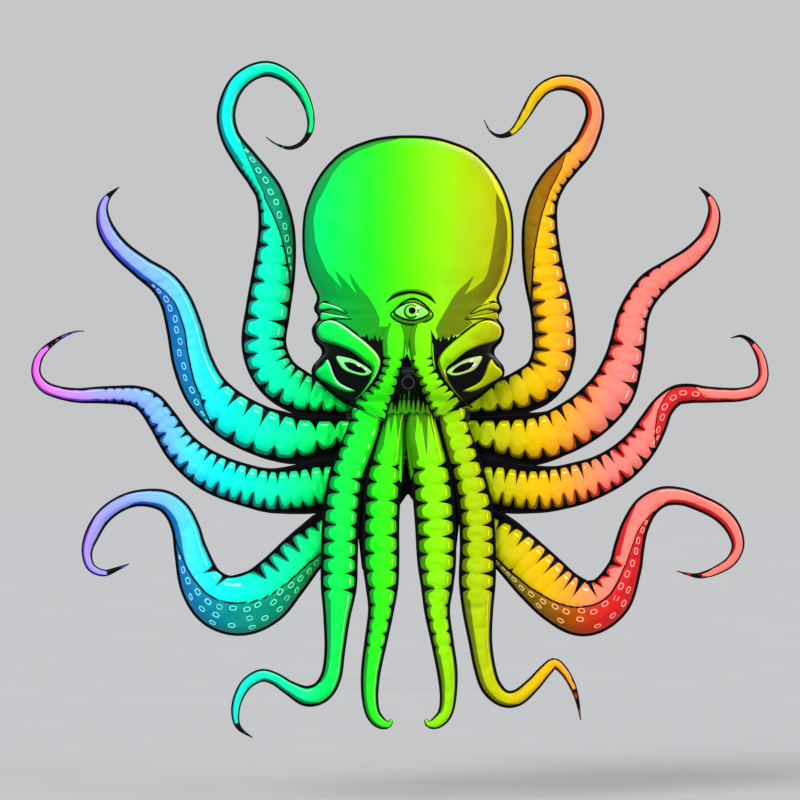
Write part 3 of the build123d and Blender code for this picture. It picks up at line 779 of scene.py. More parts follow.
def spikes(table, x, z):
    best = np.full(np.shape(x), OFF)
    for x_top, x_tip, z_tip, width in table:
        corners = np.array([(x_top - width / 2, FRINGE_TOP), (x_tip, z_tip),
                            (x_top + width / 2, FRINGE_TOP)])
        best = np.maximum(best, inside_distance(corners, x, z))
    return best


def build_skin(name, body, back_y, depth_of, rng):
    """A tentacle's closed puffed skin, flat behind, and what is sewn to it."""
    stations = TENTACLES[name]
    lead = None
    if not name.startswith("front"):
        x, z, half = stations[0]
        lead = (math.copysign(108, x), z, half * 0.97)
    route = Route(stations, lead)
    flat_back = lambda px, pz: back_y + 0 * px
    underside = UNDERSIDES.get(name)
    heavy = 0.30 if name.startswith("front") else 0.06
    tips = 3.0 if name.startswith("front_inner") else 6.5
    rows, front, fields, reach = puffed_rows(route, RINGS[name], depth_of, flat_back,
                                             underside, rng, tips=tips, heavy=heavy)
    if name in FRINGE_SHADE:
        x, z = front[:, :, 0], front[:, :, 2]
        fields["shade"] = np.maximum(fields["shade"], spikes(FRINGE_SHADE[name], x, z))
        fields["black"] = np.maximum(fields["black"], spikes(FRINGE_INK[name], x, z))
    skin = closed_strip("skin_" + name, rows, front, fields, reach,
                        lambda px, pz: back_y - 0.6 + 0 * px)
    finish(skin, body)
    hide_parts("tentacle_" + name)
    build_binding(name, body, route, back_y)
    build_sleeve(name, body, route, back_y)
    if name in SUCKER_ROWS:
        build_suckers(name, body, rows, front, fields)


def finish(piece, body):
    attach(piece, body)


# Black gussets beside the roots: length from the root, extra width on the two edges.
GUSSETS = {
    "upper_left": [(0, 8, 0), (110, 5, 0), (170, 0, 0)],
    "second_left": [(0, 17, 3), (90, 12, 5), (150, 3, 3), (190, 0, 0)],
    "third_left": [(0, 12, 17), (90, 10, 9), (150, 3, 3), (200, 0, 0)],
    "lower_left": [(0, 0, 12), (60, 0, 12), (120, 0, 2), (150, 0, 0)],
    "upper_right": [(0, 0, 8), (110, 0, 7), (150, 0, 6), (185, 0, 0)],
    "second_right": [(0, 3, 17), (90, 7, 12), (140, 7, 8), (190, 0, 0)],
    "third_right": [(0, 17, 12), (90, 11, 10), (140, 7, 3), (200, 0, 0)],
    "lower_right": [(0, 12, 0), (60, 12, 0), (120, 2, 0), (150, 0, 0)],
}


def build_binding(name, body, route, back_y):
    """Black tape round the whole edge: one flat rounded strip on each side."""
    s = np.linspace(0, route.length, int(route.length / 5))
    gusset = np.asarray(GUSSETS.get(name, [(0, 0, 0), (1, 0, 0)]), float)
    x, z, half, normal = route.at(s)
    band = np.minimum(BAND, 0.3 * half)
    inner = half - band - np.minimum(8.0, 0.28 * half)
    profile = [(0.0, 0.0), (0.0, -1.2), (0.25, -1.7), (0.75, -1.7), (0.95, -1.3), (1.0, -0.4),
               (0.95, 0.5), (0.75, 0.9), (0.25, 0.9), (0.0, 0.6)]
    points, cloth, faces = [], [], []
    for side in (-1, 1):
        offset = len(points)
        for i in range(len(s)):
            for across, rise in profile:
                extra = np.interp(s[i], gusset[:, 0], gusset[:, 1 if side > 0 else 2])
                reach = side * (inner[i] + (half[i] + extra - inner[i]) * across)
                points.append(((x[i] + normal[i, 0] * reach) * MM, (back_y + rise) * MM,
                               (z[i] + normal[i, 1] * reach) * MM))
                cloth.append(((1 - across) * (half[i] - inner[i]), s[i], 0))
        count = len(profile)
        strip = quads(len(s), count, flip=True, offset=offset)
        faces += strip if side > 0 else [quad[::-1] for quad in strip]
        cap = [offset + j for j in range(count)]
        end = [offset + (len(s) - 1) * count + j for j in range(count)]
        faces.append(tuple(cap if side < 0 else cap[::-1]))
        faces.append(tuple(end if side > 0 else end[::-1]))
    piece = mesh_object("binding_" + name, points, faces)
    # The inner front tentacles' tape carries the green strip between them, with its painted shade
    # strip.
    if name in FRINGE_SHADE:
        flat = np.array(points) / MM
        black, shade = between_fields(flat)
        paint(piece, flat[:, 0], black=black, shade=shade, cloth=cloth)
    else:
        cover(piece, "tape", cloth)
    finish(piece, body)


def build_sleeve(name, body, route, back_y):
    """Narrow sleeve sewn over the rod on the back."""
    start = 30.0
    end = route.station(len(TENTACLES[name]) - 3)
    s = np.arange(start, end, 4.0)
    x, z, half, normal = route.at(s)
    profile = [(-7, 0.1), (-6.8, 0.9), (-4.2, 1.1), (-2.8, 2.2), (-1.4, 3.6), (0, 4.0),
               (1.4, 3.6), (2.8, 2.2), (4.2, 1.1), (6.8, 0.9), (7, 0.1)]
    points, cloth = [], []
    for i in range(len(s)):
        squeeze = min(1.0, half[i] / 9.0)
        for across, rise in profile:
            points.append(((x[i] + normal[i, 0] * across * squeeze) * MM,
                           (back_y + rise) * MM, (z[i] + normal[i, 1] * across * squeeze) * MM))
            cloth.append((across + 4.6, s[i], 0))
    n, m = len(s), len(profile)
    faces = quads(n, m, flip=True)
    faces += [tuple(reversed(range(m))), tuple((n - 1) * m + j for j in range(m))]
    piece = mesh_object("sleeve_" + name, points, faces)
    cover(piece, "tape", cloth)
    finish(piece, body)


def build_suckers(name, body, rows, front, fields):
    """Oval sucker rings standing on the underside."""
    under = fields["under"]
    half = fields["half"]
    points, faces, centres = [], [], []
    step_start = next(i for i in range(len(rows)) if (under[i] > 3).any())
    s = rows[step_start] + 8
    odd = False
    while s < rows[-1]:
        i = int(np.searchsorted(rows, s))
        if i >= len(rows) - 1:
            break
        open_columns = np.where(under[i] > 0)[0]
        width = under[i].max()
        if len(open_columns) < 3 or width < 7 or half[i] < 9:
            s += 6
            continue
        count = int(np.clip(round(width / 22), 1, SUCKER_ROWS[name]))
        size = min(0.30 * width / count, 5.6)
        odd = not odd
        for k in range(count):
            share = (k + 0.5) / count * 0.86 + (0.09 if odd else 0.0)
            target = share * width
            column = int(np.abs(under[i] - target).argmin())
            centre = front[i, column]
            if all(np.linalg.norm(centre - other) > 3.0 * size for other in centres):
                centres.append(centre)
                ring_on(front, i, column, size, points, faces)
        s += max(size * 4.2, 15)
    if not points:
        return
    points = np.array(points)
    piece = mesh_object("suckers_" + name, points * MM, faces)
    paint(piece, points[:, 0], lift=0.18)
    finish(piece, body)


def ring_on(front, i, j, size, points, faces):
    """One oval torus on the skin at grid point (i, j)."""
    i0, i1 = max(i - 1, 0), min(i + 1, len(front) - 1)
    j0, j1 = max(j - 1, 0), min(j + 1, front.shape[1] - 1)
    along = front[i1, j] - front[i0, j]
    over = front[i, j1] - front[i, j0]
    along /= np.linalg.norm(along)
    over -= along * (over @ along)
    over /= np.linalg.norm(over)
    normal = np.cross(along, over)
    if normal[1] > 0:
        normal = -normal
    if normal[1] > -0.3:
        return
    centre = front[i, j]
    offset = len(points)
    around, tube = 20, 8
    for a in np.arange(around) * 2 * math.pi / around:
        squarish = (abs(math.cos(a)) ** 3 + abs(math.sin(a)) ** 3) ** (-1 / 3)
        out = along * math.cos(a) * 1.2 + over * math.sin(a) * 0.8
        for b in np.arange(tube) * 2 * math.pi / tube:
            radius = size * squarish * 0.92 + 1.35 * math.cos(b)
            points.append(centre + out * radius + normal * (0.5 + 1.2 * math.sin(b)))
    faces += quads(around, tube, tall=True, offset=offset)


# ---------------------------------------------------------------- head surface
HEAD_RIGHT = [(0, 472), (50, 469), (92, 458), (130, 441), (160, 414), (182, 384), (198, 350),
              (208, 314), (211, 268), (208, 224), (197, 184), (182, 150), (188, 126), (180, 108),
              (192, 86), (187, 62), (174, 46), (174, 32), (190, 12), (192, -6), (180, -20),
              (118, -68), (60, -75), (0, -75)]
HEAD_CENTRE = np.array((0.0, 120.0))
DOME = np.array([(0.0, 1.0), (0.1, 1.0), (0.34, .985), (0.58, .92), (0.76, .8), (0.88, .64),
                 (0.95, .45), (0.985, .26), (1.0, 0.0)])


def closed_curve(points, per=6):
    """Smooth closed curve through the points."""
    data = np.asarray(points, float)
    return spline(np.vstack([data[-1:], data, data[:2]]), per)


def head_radius(inset=0.0):
    """Table of angle and distance from the head's centre to its outline."""
    whole = HEAD_RIGHT + [(-x, z) for x, z in HEAD_RIGHT[-2:0:-1]]
    loop = closed_curve(whole) - HEAD_CENTRE
    angle = np.arctan2(loop[:, 1], loop[:, 0])
    order = np.argsort(angle)
    radius = np.hypot(*loop.T)[order] - inset
    angle = angle[order]
    return (np.concatenate([angle - 2 * math.pi, angle, angle + 2 * math.pi]), np.tile(radius, 3))


HEAD_ANGLE, HEAD_REACH = head_radius(BAND)


def inside_distance(polygon, x, z):
    """Distance from points to a closed polygon's edge, positive inside."""
    x, z = np.asarray(x, float), np.asarray(z, float)
    best = np.full(x.shape, 1e9)
    crossings = np.zeros(x.shape, int)
    for (ax, az), (bx, bz) in zip(polygon, np.roll(polygon, -1, axis=0)):
        dx, dz = bx - ax, bz - az
        t = np.clip(((x - ax) * dx + (z - az) * dz) / max(dx * dx + dz * dz, 1e-9), 0, 1)
        best = np.minimum(best, np.hypot(x - ax - t * dx, z - az - t * dz))
        if az != bz:
            hit = ((az > z) != (bz > z)) & (x < (bx - ax) * (z - az) / (bz - az) + ax)
            crossings += hit
    return np.where(crossings % 2 == 1, best, -best)


def any_inside(polygons, x, z):
    return np.max([inside_distance(np.asarray(p, float), x, z) for p in polygons], axis=0)


def mirror(points):
    """The face's left side: mirrored about the face's middle."""
    return [(FACE_MIDDLE * 2 - x, z) for x, z in reversed(points)]


FACE_MIDDLE = 2.0
BROW = [(186, 80), (182, 92), (172, 99), (158, 102), (143, 98), (124, 86), (106, 72), (88, 58),
        (72, 43), (62, 30), (59, 18), (63, 2), (70, -12), (83, -30), (97, -46), (112, -59),
        (130, -72), (116, -63), (104, -50), (92, -36), (81, -19), (75, -3), (76, 8), (88, 18),
        (102, 30), (116, 40), (132, 48), (150, 54), (168, 59), (180, 66)]
EYE = [(76, -1), (84, -7), (96, -8), (112, -4), (128, 2), (139, 12), (147, 30), (130, 29),
       (112, 24), (94, 14), (82, 6)]
CHEEK = [(165, 25), (158, 14), (154, 2), (149, -10), (140, -22), (122, -32), (108, -38),
         (124, -40), (144, -33), (164, -22), (181, -13), (188, -4), (185, 4), (174, 13)]
SOCKET = [(70, 30), (66, 8), (72, -14), (88, -40), (110, -62), (124, -66), (150, -36),
          (186, -18), (190, -4), (182, 12), (174, 30), (174, 44), (182, 62), (150, 58),
          (112, 42), (86, 24)]
# Black ink on the face's right side, mirrored for the left; the points make hatching.
HATCHING = [[(190, 62), (186, 48), (184, 20), (194, 10), (194, -12), (184, -30), (140, -62),
        (124, -84), (104, -70), (90, -56), (76, -40), (64, -24), (57, -8), (53, 12), (50, 34),
        (50, 50), (42, 88), (57, 62), (60, 72), (64, 58), (70, 75), (73, 62), (77, 70), (80, 60),
        (87, 78), (89, 66), (94, 73), (97, 66), (104, 76), (128, 94), (150, 104), (178, 98),
        (198, 84)],
       [(156, 139), (170, 142), (190, 134), (200, 120), (196, 98), (176, 100), (172, 119),
        (150, 124), (174, 122), (178, 134)]]
CAVITY = [(-2, 36), (6, 20), (11, 0), (20, -16), (28, -34), (36, -50), (44, -62), (56, -80),
          (-50, -80), (-42, -62), (-36, -48), (-30, -32), (-25, -16), (-17, 0), (-12, 20)]


def head_y(x, z, relief=True):
    """Front surface of the head's skin."""
    x, z = np.asarray(x, float), np.asarray(z, float)
    dx, dz = x - HEAD_CENTRE[0], z - HEAD_CENTRE[1]
    reach = np.interp(np.arctan2(dz, dx), HEAD_ANGLE, HEAD_REACH)
    share = np.clip(np.hypot(dx, dz) / reach, 0, 1)
    depth = HEAD_DEPTH * np.interp(share, DOME_FINE[:, 0], DOME_FINE[:, 1])
    y = FACE_Y - 1.0 - depth
    if relief:
        for hollow, deep, soft in HOLLOWS:
            y = y + deep * smooth_step(inside_distance(hollow, x, z), -2, soft)
    return y


def smooth_step(value, low, high):
    t = np.clip((value - low) / (high - low), 0, 1)
    return t * t * (3 - 2 * t)


def fine_dome():
    """The dome's profile, rounded between its corners."""
    share = np.linspace(0, 1, 200)
    rise = np.interp(share, DOME[:, 0], DOME[:, 1])
    kernel = np.hanning(13) / np.hanning(13).sum()
    padded = np.concatenate([np.full(6, rise[0]), rise, -rise[-2:-8:-1]])
    soft = np.convolve(padded, kernel, mode="valid")
    soft[-1] = 0.0
    return np.stack([share, soft], axis=1)


DOME_FINE = fine_dome()
HOLLOWS = [(np.array(SOCKET, float), 9.0, 12.0), (np.array(mirror(SOCKET), float), 9.0, 12.0),
           (np.array(CAVITY, float), 13.0, 12.0)]


def head_skin():
    """Puffed front of the head, with the hollow eye sockets and cavity."""
    angles = np.linspace(-math.pi, math.pi, SPOKES)[:-1]
    shares = 1 - (1 - np.linspace(0, 1, 110)) ** 1.5
    reach = np.interp(angles, HEAD_ANGLE, HEAD_REACH)
    x = HEAD_CENTRE[0] + shares[1:, None] * (reach * np.cos(angles))[None, :]
    z = HEAD_CENTRE[1] + shares[1:, None] * (reach * np.sin(angles))[None, :]
    y = head_y(x, z)
    rng = np.random.default_rng(SEED)
    wrinkle = sum(np.sin(x * rng.uniform(.02, .09) + z * rng.uniform(-.09, .09)
                         + rng.uniform(0, 6.3)) for _ in range(7))
    edge = np.exp(-((1 - shares[1:, None]) / 0.07) ** 2)
    count = np.arange(len(angles))
    pucker = np.sin(count * 0.41)[None, :] + np.sin(count * 0.68)[None, :]
    y = y + 0.30 * wrinkle * (1 - edge) + 0.9 * pucker * edge * (1 - shares[1:, None] ** 8)
    grid = np.stack([x, y, z], axis=2)
    some = np.append(np.arange(0, len(x) - 1, 4), len(x) - 1)
    columns = np.arange(0, len(angles), 4)
    sewn = np.zeros((len(some), len(columns)), bool)
    sewn[-1] = True
    moves = cloth_moves(grid[some][:, columns], sewn, HEAD_CAP, closed=True)
    moves = np.concatenate([moves, moves[:, :1]], axis=1)
    moves = spread(moves, some, np.append(columns, len(angles)), np.arange(len(x)),
                   np.arange(len(angles)))
    grid[:, :, 1] += moves[:, :, 1] * smooth_step(z, 165, 215)
    ring = grid.reshape(-1, 3)
    centre = np.array([[HEAD_CENTRE[0], y[0].mean(), HEAD_CENTRE[1]]])
    points = np.vstack([ring, centre])
    n, m = len(shares) - 1, len(angles)
    faces = quads(n, m)
    for j in range(m):
        faces.append((len(points) - 1, j, (j + 1) % m))
    faces.append(tuple((n - 1) * m + j for j in reversed(range(m))))
    skin = mesh_object("head_front", points * MM, faces)
    px, pz = points[:, 0], points[:, 2]
    # Painted shade patches and a painted highlight on the rim; black ink hatching and the black
    # cavity.
    shade = any_inside([HEAD_SHADE_LEFT, HEAD_SHADE_RIGHT, NOSE_SHADE_STRIP, *CAVITY_SPIKES], px, pz)
    high = any_inside([HEAD_RIM_HIGHLIGHT], px, pz)
    ink = HATCHING + [mirror(p) for p in HATCHING]
    black = any_inside(ink, px, pz)
    cavity = any_inside([CAVITY], px, pz)
    cavity = np.minimum(cavity, -any_inside(CAVITY_SPIKES, px, pz))
    black = np.maximum(black, cavity)
    paint(skin, px, shade=shade, high=high, black=black)
    finish(skin, "root")
    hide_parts("head_skin")


# Painted shade on the head's left and right sides; their points make its flicks.
HEAD_SHADE_LEFT = [(-10, 490), (-60, 490), (-140, 470), (-200, 420), (-235, 330), (-235, 250),
                   (-230, 184), (-225, 150), (-225, 128), (-225, 108), (-225, 86), (-150, 76),
                   (-100, 66), (-60, 58), (-50, 70), (-40, 89), (-57, 90), (-56, 106), (-66, 128),
                   (-80, 150), (-96, 167), (-118, 199), (-111, 174), (-100, 152), (-118, 173),
                   (-146, 203), (-138, 182), (-130, 165), (-146, 182), (-160, 198), (-168, 215),
                   (-177, 235), (-184, 260), (-188, 300), (-182, 332), (-172, 350), (-160, 372),
                   (-150, 394), (-130, 418), (-100, 438), (-60, 453), (-20, 463)]
HEAD_SHADE_RIGHT = [(176, 358), (188, 334), (196, 300), (197, 270), (194, 232), (187, 198),
                    (177, 172), (160, 148), (152, 139), (136, 122), (118, 108), (128, 97),
                    (100, 74), (62, 62), (54, 84), (60, 97), (67, 109), (76, 124), (86, 142),
                    (98, 160), (131, 191), (122, 170), (111, 152), (130, 165), (150, 181),
                    (157, 194), (163, 220), (170, 260), (176, 300), (174, 332)]
# Painted highlight along the head's right rim.
HEAD_RIM_HIGHLIGHT = [(58, 459), (100, 446), (130, 431), (150, 411), (166, 383), (176, 358), (190, 330),
            (198, 290), (199, 250), (195, 214), (186, 184), (172, 160), (154, 138), (163, 134),
            (190, 146), (215, 182), (230, 224), (235, 268), (230, 314), (214, 350), (204, 392),
            (176, 432), (140, 460), (94, 478)]
# Painted shade in the strip between the nose ridges.
NOSE_SHADE_STRIP = [(-16, 97), (10, 92), (32, 97), (20, 84), (10, 70), (3, 52), (-2, 34), (-5, 52),
              (-8, 70), (-12, 84)]
# Green spikes rising into the black cavity, in the painted shade tone on the head.
CAVITY_SPIKES = [[(left, -90), (tip, top), (right, -90)] for left, tip, right, top in (
    (-44, -31, -30, -52), (-32, -25, -22, -60), (-24, -15, -14, -44), (-17, -7, -3, -38),
    (-5, 2, 6, -34), (4, 11, 15, -46), (13, 21, 25, -42), (23, 30, 36, -54), (34, 37, 48, -60))]


def head_back():
    """Puffed back of the upper head, behind the face's plane."""
    low = 66.0
    whole = [p for p in HEAD_RIGHT[:11]] + [(178, 130), (150, low)]
    whole = whole + [(-x, z) for x, z in reversed(whole[1:])]
    loop = closed_curve(whole, 5)
    deep = SAIL_Y + 2.5 - FACE_Y
    shares = 1 - (1 - np.linspace(0, 1, 30)) ** 1.5
    rows = []
    for share in shares[::-1]:
        ring = HEAD_CENTRE + (loop - HEAD_CENTRE) * max(share, 0.02) * np.array((0.985, 0.985))
        rise = deep * np.interp(share, DOME_FINE[:, 0], DOME_FINE[:, 1])
        rows.append(np.stack([ring[:, 0], np.full(len(ring), FACE_Y + rise), ring[:, 1]], axis=1))
    m = len(loop)
    points = np.vstack(rows)
    faces = quads(len(rows), m, flip=True)
    faces.append(tuple(reversed(range(m))))
    faces.append(tuple((len(rows) - 1) * m + j for j in range(m)))
    back = mesh_object("head_back", points * MM, faces)
    paint(back, points[:, 0])
    finish(back, "root")


def head_binding():
    """Black tape round the head's outline."""
    angle, outer = head_radius(0.0)
    angles = np.linspace(-math.pi, math.pi, SPOKES)[:-1]
    reach = np.interp(angles, angle, outer)
    profile = [(-16, 0.8), (-12, -1.4), (-4, -1.8), (-1, -1.2), (0, 0.4), (-1, 1.8), (-4, 2.2),
               (-16, 2.2)]
    points, cloth = [], []
    travelled = 0.0
    for i, a in enumerate(angles):
        travelled += reach[i] * (angles[1] - angles[0])
        for inward, rise in profile:
            r = reach[i] + inward
            points.append((r * math.cos(a) * MM, (FACE_Y + rise) * MM,
                           (HEAD_CENTRE[1] + r * math.sin(a)) * MM))
            cloth.append((-inward, travelled, 0))
    faces = quads(len(angles), len(profile), tall=True, flip=True)
    piece = mesh_object("head_binding", points, faces)
    cover(piece, "tape", cloth)
    finish(piece, "root")


# ---------------------------------------------------------------- pads and patches on the head
def resample(loop, step):
    """Points evenly spaced round a closed loop."""
    closed = np.vstack([loop, loop[:1]])
    along = np.concatenate([[0], np.cumsum(np.hypot(*np.diff(closed, axis=0).T))])
    count = max(8, int(along[-1] / step))
    s = np.arange(count) * along[-1] / count
    return np.stack([np.interp(s, along, closed[:, i]) for i in (0, 1)], axis=1)


def signed_area(loop):
    """Twice the area, positive for a loop drawn anticlockwise."""
    after = np.roll(loop, -1, axis=0)
    return np.sum(loop[:, 0] * after[:, 1] - after[:, 0] * loop[:, 1])


def inward_normals(loop):
    run = np.roll(loop, -1, axis=0) - np.roll(loop, 1, axis=0)
    run /= np.maximum(np.linalg.norm(run, axis=1), 1e-9)[:, None]
    normal = np.stack([-run[:, 1], run[:, 0]], axis=1)
    return normal if signed_area(loop) > 0 else -normal


def fill_loop(loop, spacing, insets=(1.0, 2.4)):
    """Triangles inside a loop, with rows beside its edge and a grid in the middle."""
    normals = inward_normals(loop)
    extra = []
    for inset in insets:
        moved = loop + normals * inset
        kept = inside_distance(loop, moved[:, 0], moved[:, 1]) > inset * 0.86
        extra.append(moved[kept])
    low, high = loop.min(axis=0), loop.max(axis=0)
    gx, gz = np.meshgrid(np.arange(low[0], high[0], spacing), np.arange(low[1], high[1], spacing))
    gx = gx + (np.arange(gx.shape[0]) % 2)[:, None] * spacing / 2
    gx, gz = gx.ravel(), gz.ravel()
    keep = inside_distance(loop, gx, gz) > insets[-1] + spacing * 0.55
    extra.append(np.stack([gx[keep], gz[keep]], axis=1))
    points = np.vstack([loop] + extra)
    edges = [(i, (i + 1) % len(loop)) for i in range(len(loop))]
    result = geometry.delaunay_2d_cdt([Vector(p) for p in points], edges, [], 1, 1e-4)
    return np.array([tuple(v) for v in result[0]]), [tuple(f) for f in result[2]]


def puffed(name, outline, height, ramp, lift=1.0, surface=head_y, slot="skin_head", smooth=4,
           spacing=3.5, border=0.0, print_fields=None, tone_lift=None, black=False, sunk=2.0,
           shade_step=3.0):
    """Pad with a rounded edge that stands on a surface; height 0 makes a flat patch."""
    loop = resample(closed_curve(outline, smooth) if smooth else np.asarray(outline, float), 2.2)
    if border:
        rim = loop - inward_normals(loop) * border
        puffed(name + "_edge", resample(rim, 2.6), 0.0, 1.0, lift=lift - min(0.35, lift / 2),
               surface=surface, slot=slot, smooth=0, spacing=spacing * 1.5, black=True,
               sunk=sunk)
    flat, faces = fill_loop(loop, spacing)
    x, z = flat[:, 0], flat[:, 1]
    distance = np.maximum(inside_distance(loop, x, z), 0)
    share = np.clip(distance / ramp, 0, 1)
    rise = height * np.sqrt(np.clip(1 - (1 - share) ** 2, 0, 1))
    top = np.stack([x, surface(x, z) - lift - rise, z], axis=1)
    under = np.stack([x, surface(x, z) + sunk, z], axis=1)
    points = np.vstack([top, under])
    faces = closed_faces(flat, faces, loop)
    piece = mesh_object(name, points * MM, faces)
    if black:
        cover(piece, "black", points[:, [0, 2, 1]])
    else:
        shade = high = ink = None
        # Painted shade along the lower left edge and painted highlight along the upper right
        # edge, as if lit from the upper right.
        if height > 0 and print_fields is None:
            vx, vz = shade_step * 0.8, shade_step * 0.7
            d_in = inside_distance(loop, points[:, 0] - vx, points[:, 2] - vz)
            d_out = inside_distance(loop, points[:, 0] + vx * .8, points[:, 2] + vz * .8)
            shade = 0.6 - d_in
            high = np.minimum(0.4 - d_out, d_in - 1.5)
        if print_fields is not None:
            shade, high, ink = (*print_fields(points[:, 0], points[:, 2]), None)[:3]
        paint(piece, points[:, 0], black=ink, shade=shade, high=high, lift=tone_lift,
              cloth=points[:, [0, 2, 1]])
    finish(piece, "root")
    return piece


def closed_faces(flat, faces, loop):
    """Front triangles, the same behind them, and a rim; the loop's points come first."""
    n = len(flat)
    front = [f if is_front(flat, f) else f[::-1] for f in faces]
    count = len(loop)
    area = signed_area(loop)
    rim = []
    for i in range(count):
        k = (i + 1) % count
        quad = (i, n + i, n + k, k)
        rim.append(quad if area > 0 else quad[::-1])
    return front + [tuple(n + i for i in reversed(f)) for f in front] + rim


def is_front(flat, face):
    """Whether a triangle's order makes it face -Y."""
    (ax, az), (bx, bz), (cx, cz) = (flat[i] for i in face[:3])
    return (bx - ax) * (cz - az) - (cx - ax) * (bz - az) > 0


def oval(cx, cz, half_w, half_h, tilt=0.0, power=2.4):
    """Rounded oval outline, turned by tilt degrees."""
    a = np.arange(OVAL_POINTS) * 2 * math.pi / OVAL_POINTS
    u = np.sign(np.cos(a)) * np.abs(np.cos(a)) ** (2 / power) * half_w
    v = np.sign(np.sin(a)) * np.abs(np.sin(a)) ** (2 / power) * half_h
    c, s = math.cos(math.radians(tilt)), math.sin(math.radians(tilt))
    return np.stack([cx + u * c - v * s, cz + u * s + v * c], axis=1)


def both_sides(name, outline, height, ramp, **settings):
    right = puffed(name + "_right", outline, height, ramp, **settings)
    left = puffed(name + "_left", mirror([tuple(p) for p in outline]), height, ramp, **settings)
    return left, right


# Ridges beside the nose (x, z, half width), top to bottom, ringed below the third station.
NOSE_ROUTES = {
    "left": [(-28, 97, 10), (-28, 82, 19), (-29, 60, 23), (-29, 36, 22), (-31, 18, 20),
             (-35, 0, 19), (-40, -16, 20), (-47, -32, 22), (-56, -46, 25), (-66, -60, 30),
             (-78, -82, 36)],
    "right": [(27, 97, 11), (26, 82, 20), (25, 60, 23), (26, 36, 22), (29, 16, 21), (35, -2, 20),
              (43, -18, 22), (51, -34, 25), (60, -48, 27), (70, -62, 30), (81, -78, 29)],
}


def chin_y(x, z):
    """The head's surface, carried straight down past the chin."""
    low = np.minimum(np.asarray(z, float), -58.0)
    hanging = head_y(x, np.maximum(z, -58.0), relief=False) + 0.32 * (-58.0 - low)
    return np.minimum(np.where(z < -58.0, hanging, head_y(x, z, relief=False)), FRONT_Y - 28)


def fringe():
    """Flap under the cavity, with the spikes that run on down the front tentacles."""
    outline = [(-46, -60), (-20, -57), (4, -56), (26, -57), (50, -60), (58, -84), (51, -79),
               (43, -85), (34, -80), (26, -85), (18, -80), (10, -84), (3, -79), (-5, -85),
               (-13, -80), (-21, -85), (-30, -80), (-38, -85), (-48, -80)]

    def fields(x, z):
        inked = -any_inside([[(px, pz - 2) for px, pz in spike] for spike in CAVITY_SPIKES], x, z)
        # The whole flap is in the painted shade tone, inked black outside the spikes.
        return np.full(len(x), 5.0), None, inked

    puffed("cavity_fringe", outline, 0.0, 1.0, lift=2.4, surface=chin_y, smooth=0, spacing=2.2,
           print_fields=fields, sunk=0.2)


def nose_depth(route, half, s):
    rise = 9.0 * smooth_step(s, -6, 60) + 6.0 * np.clip((half - 20) / 12, 0, 1)
    return rise * (1 - 0.93 * smooth_step(s, route.length - 20, route.length + 4))


def nose(side, rng):
    """Puffed, ringed ridge from the third eye down to a front tentacle."""
    route = Route(NOSE_ROUTES[side])
    reach = (.8, .5) if side == "right" else (.5, .8)
    rings = [(3.6, 9.9, 16, *reach), (9.9, 10.0, 9, *reach)]
    base = lambda x, z: chin_y(x, z) - 0.5
    rows, front, fields, reach = puffed_rows(route, rings, nose_depth, base, None, rng, 0,
                                             1.5)
    fields["high"][:] = OFF
    piece = closed_strip("nose_ridge_" + side + "_puffed", rows, front, fields, reach,
                         lambda x, z: chin_y(x, z) + 1.5)
    finish(piece, "root")
    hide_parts("nose_ridge_" + side)
    s = np.linspace(34, route.length - 6, 60)
    x, z, half, normal = route.at(s)
    rim = np.stack([x, z], axis=1)
    left, right = rim + normal * half[:, None], rim - normal * half[:, None]
    loop = np.vstack([left, right[::-1]])
    puffed("nose_edge_" + side, loop, 0.0, 1.0, lift=0.5, smooth=0, spacing=6.0, black=True,
           surface=chin_y, slot="skin_face_" + side)


FOLDS = [[(179, 135), (172, 137), (156, 133), (140, 127), (124, 114), (142, 121), (160, 125),
          (177, 123), (182, 128)],
         [(177, 117), (170, 117), (150, 113), (132, 110), (112, 105), (136, 105), (156, 106),
          (174, 103), (180, 109)]]


def face():
    """Brows, eyes, cheek pads, nose ridges, folds and the third eye."""
    rng = np.random.default_rng(SEED + 1)
    fringe()
    for side in ("left", "right"):
        nose(side, rng)
    left, right = both_sides("brow_pad", BROW, 12.0, 10.0, border=2.6, lift=1.5, shade_step=5.0)
    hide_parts("brow_right")
    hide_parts("brow_left")
    both_sides("cheek", CHEEK, 9.0, 10.0, border=1.5, shade_step=4.0)
    left, right = both_sides("eye_pad", EYE, 3.0, 8.0, lift=2.5, tone_lift=0.25, shade_step=1.0)
    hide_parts("eye_right")
    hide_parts("eye_left")
    pupil = [(86, -1), (96, -3), (112, 1), (124, 7), (132, 18), (122, 20), (108, 16), (94, 8)]
    both_sides("pupil", pupil, 1.0, 4.0, lift=5.0, black=True)
    for name, gx, gz, w, h, tilt in (("glint_right", 126, 22, 4.5, 3.0, 30),
                                     ("glint_right_low", 131, 13, 5, 2.2, 40),
                                     ("glint_left", -98, 13, 5, 2.6, -30),
                                     ("glint_left_low", -84, 5, 3.2, 2.6, -30)):
        puffed(name, oval(gx, gz, w, h, tilt), 0.8, 2.0, lift=6.4, smooth=0,
               tone_lift=0.95, spacing=2.5, print_fields=lambda x, z: (None, None))
    for i, fold in enumerate(FOLDS):
        both_sides(f"temple_fold_{i}", fold, 6.0, 6.0, border=1.6, shade_step=2.5)
    third_eye()


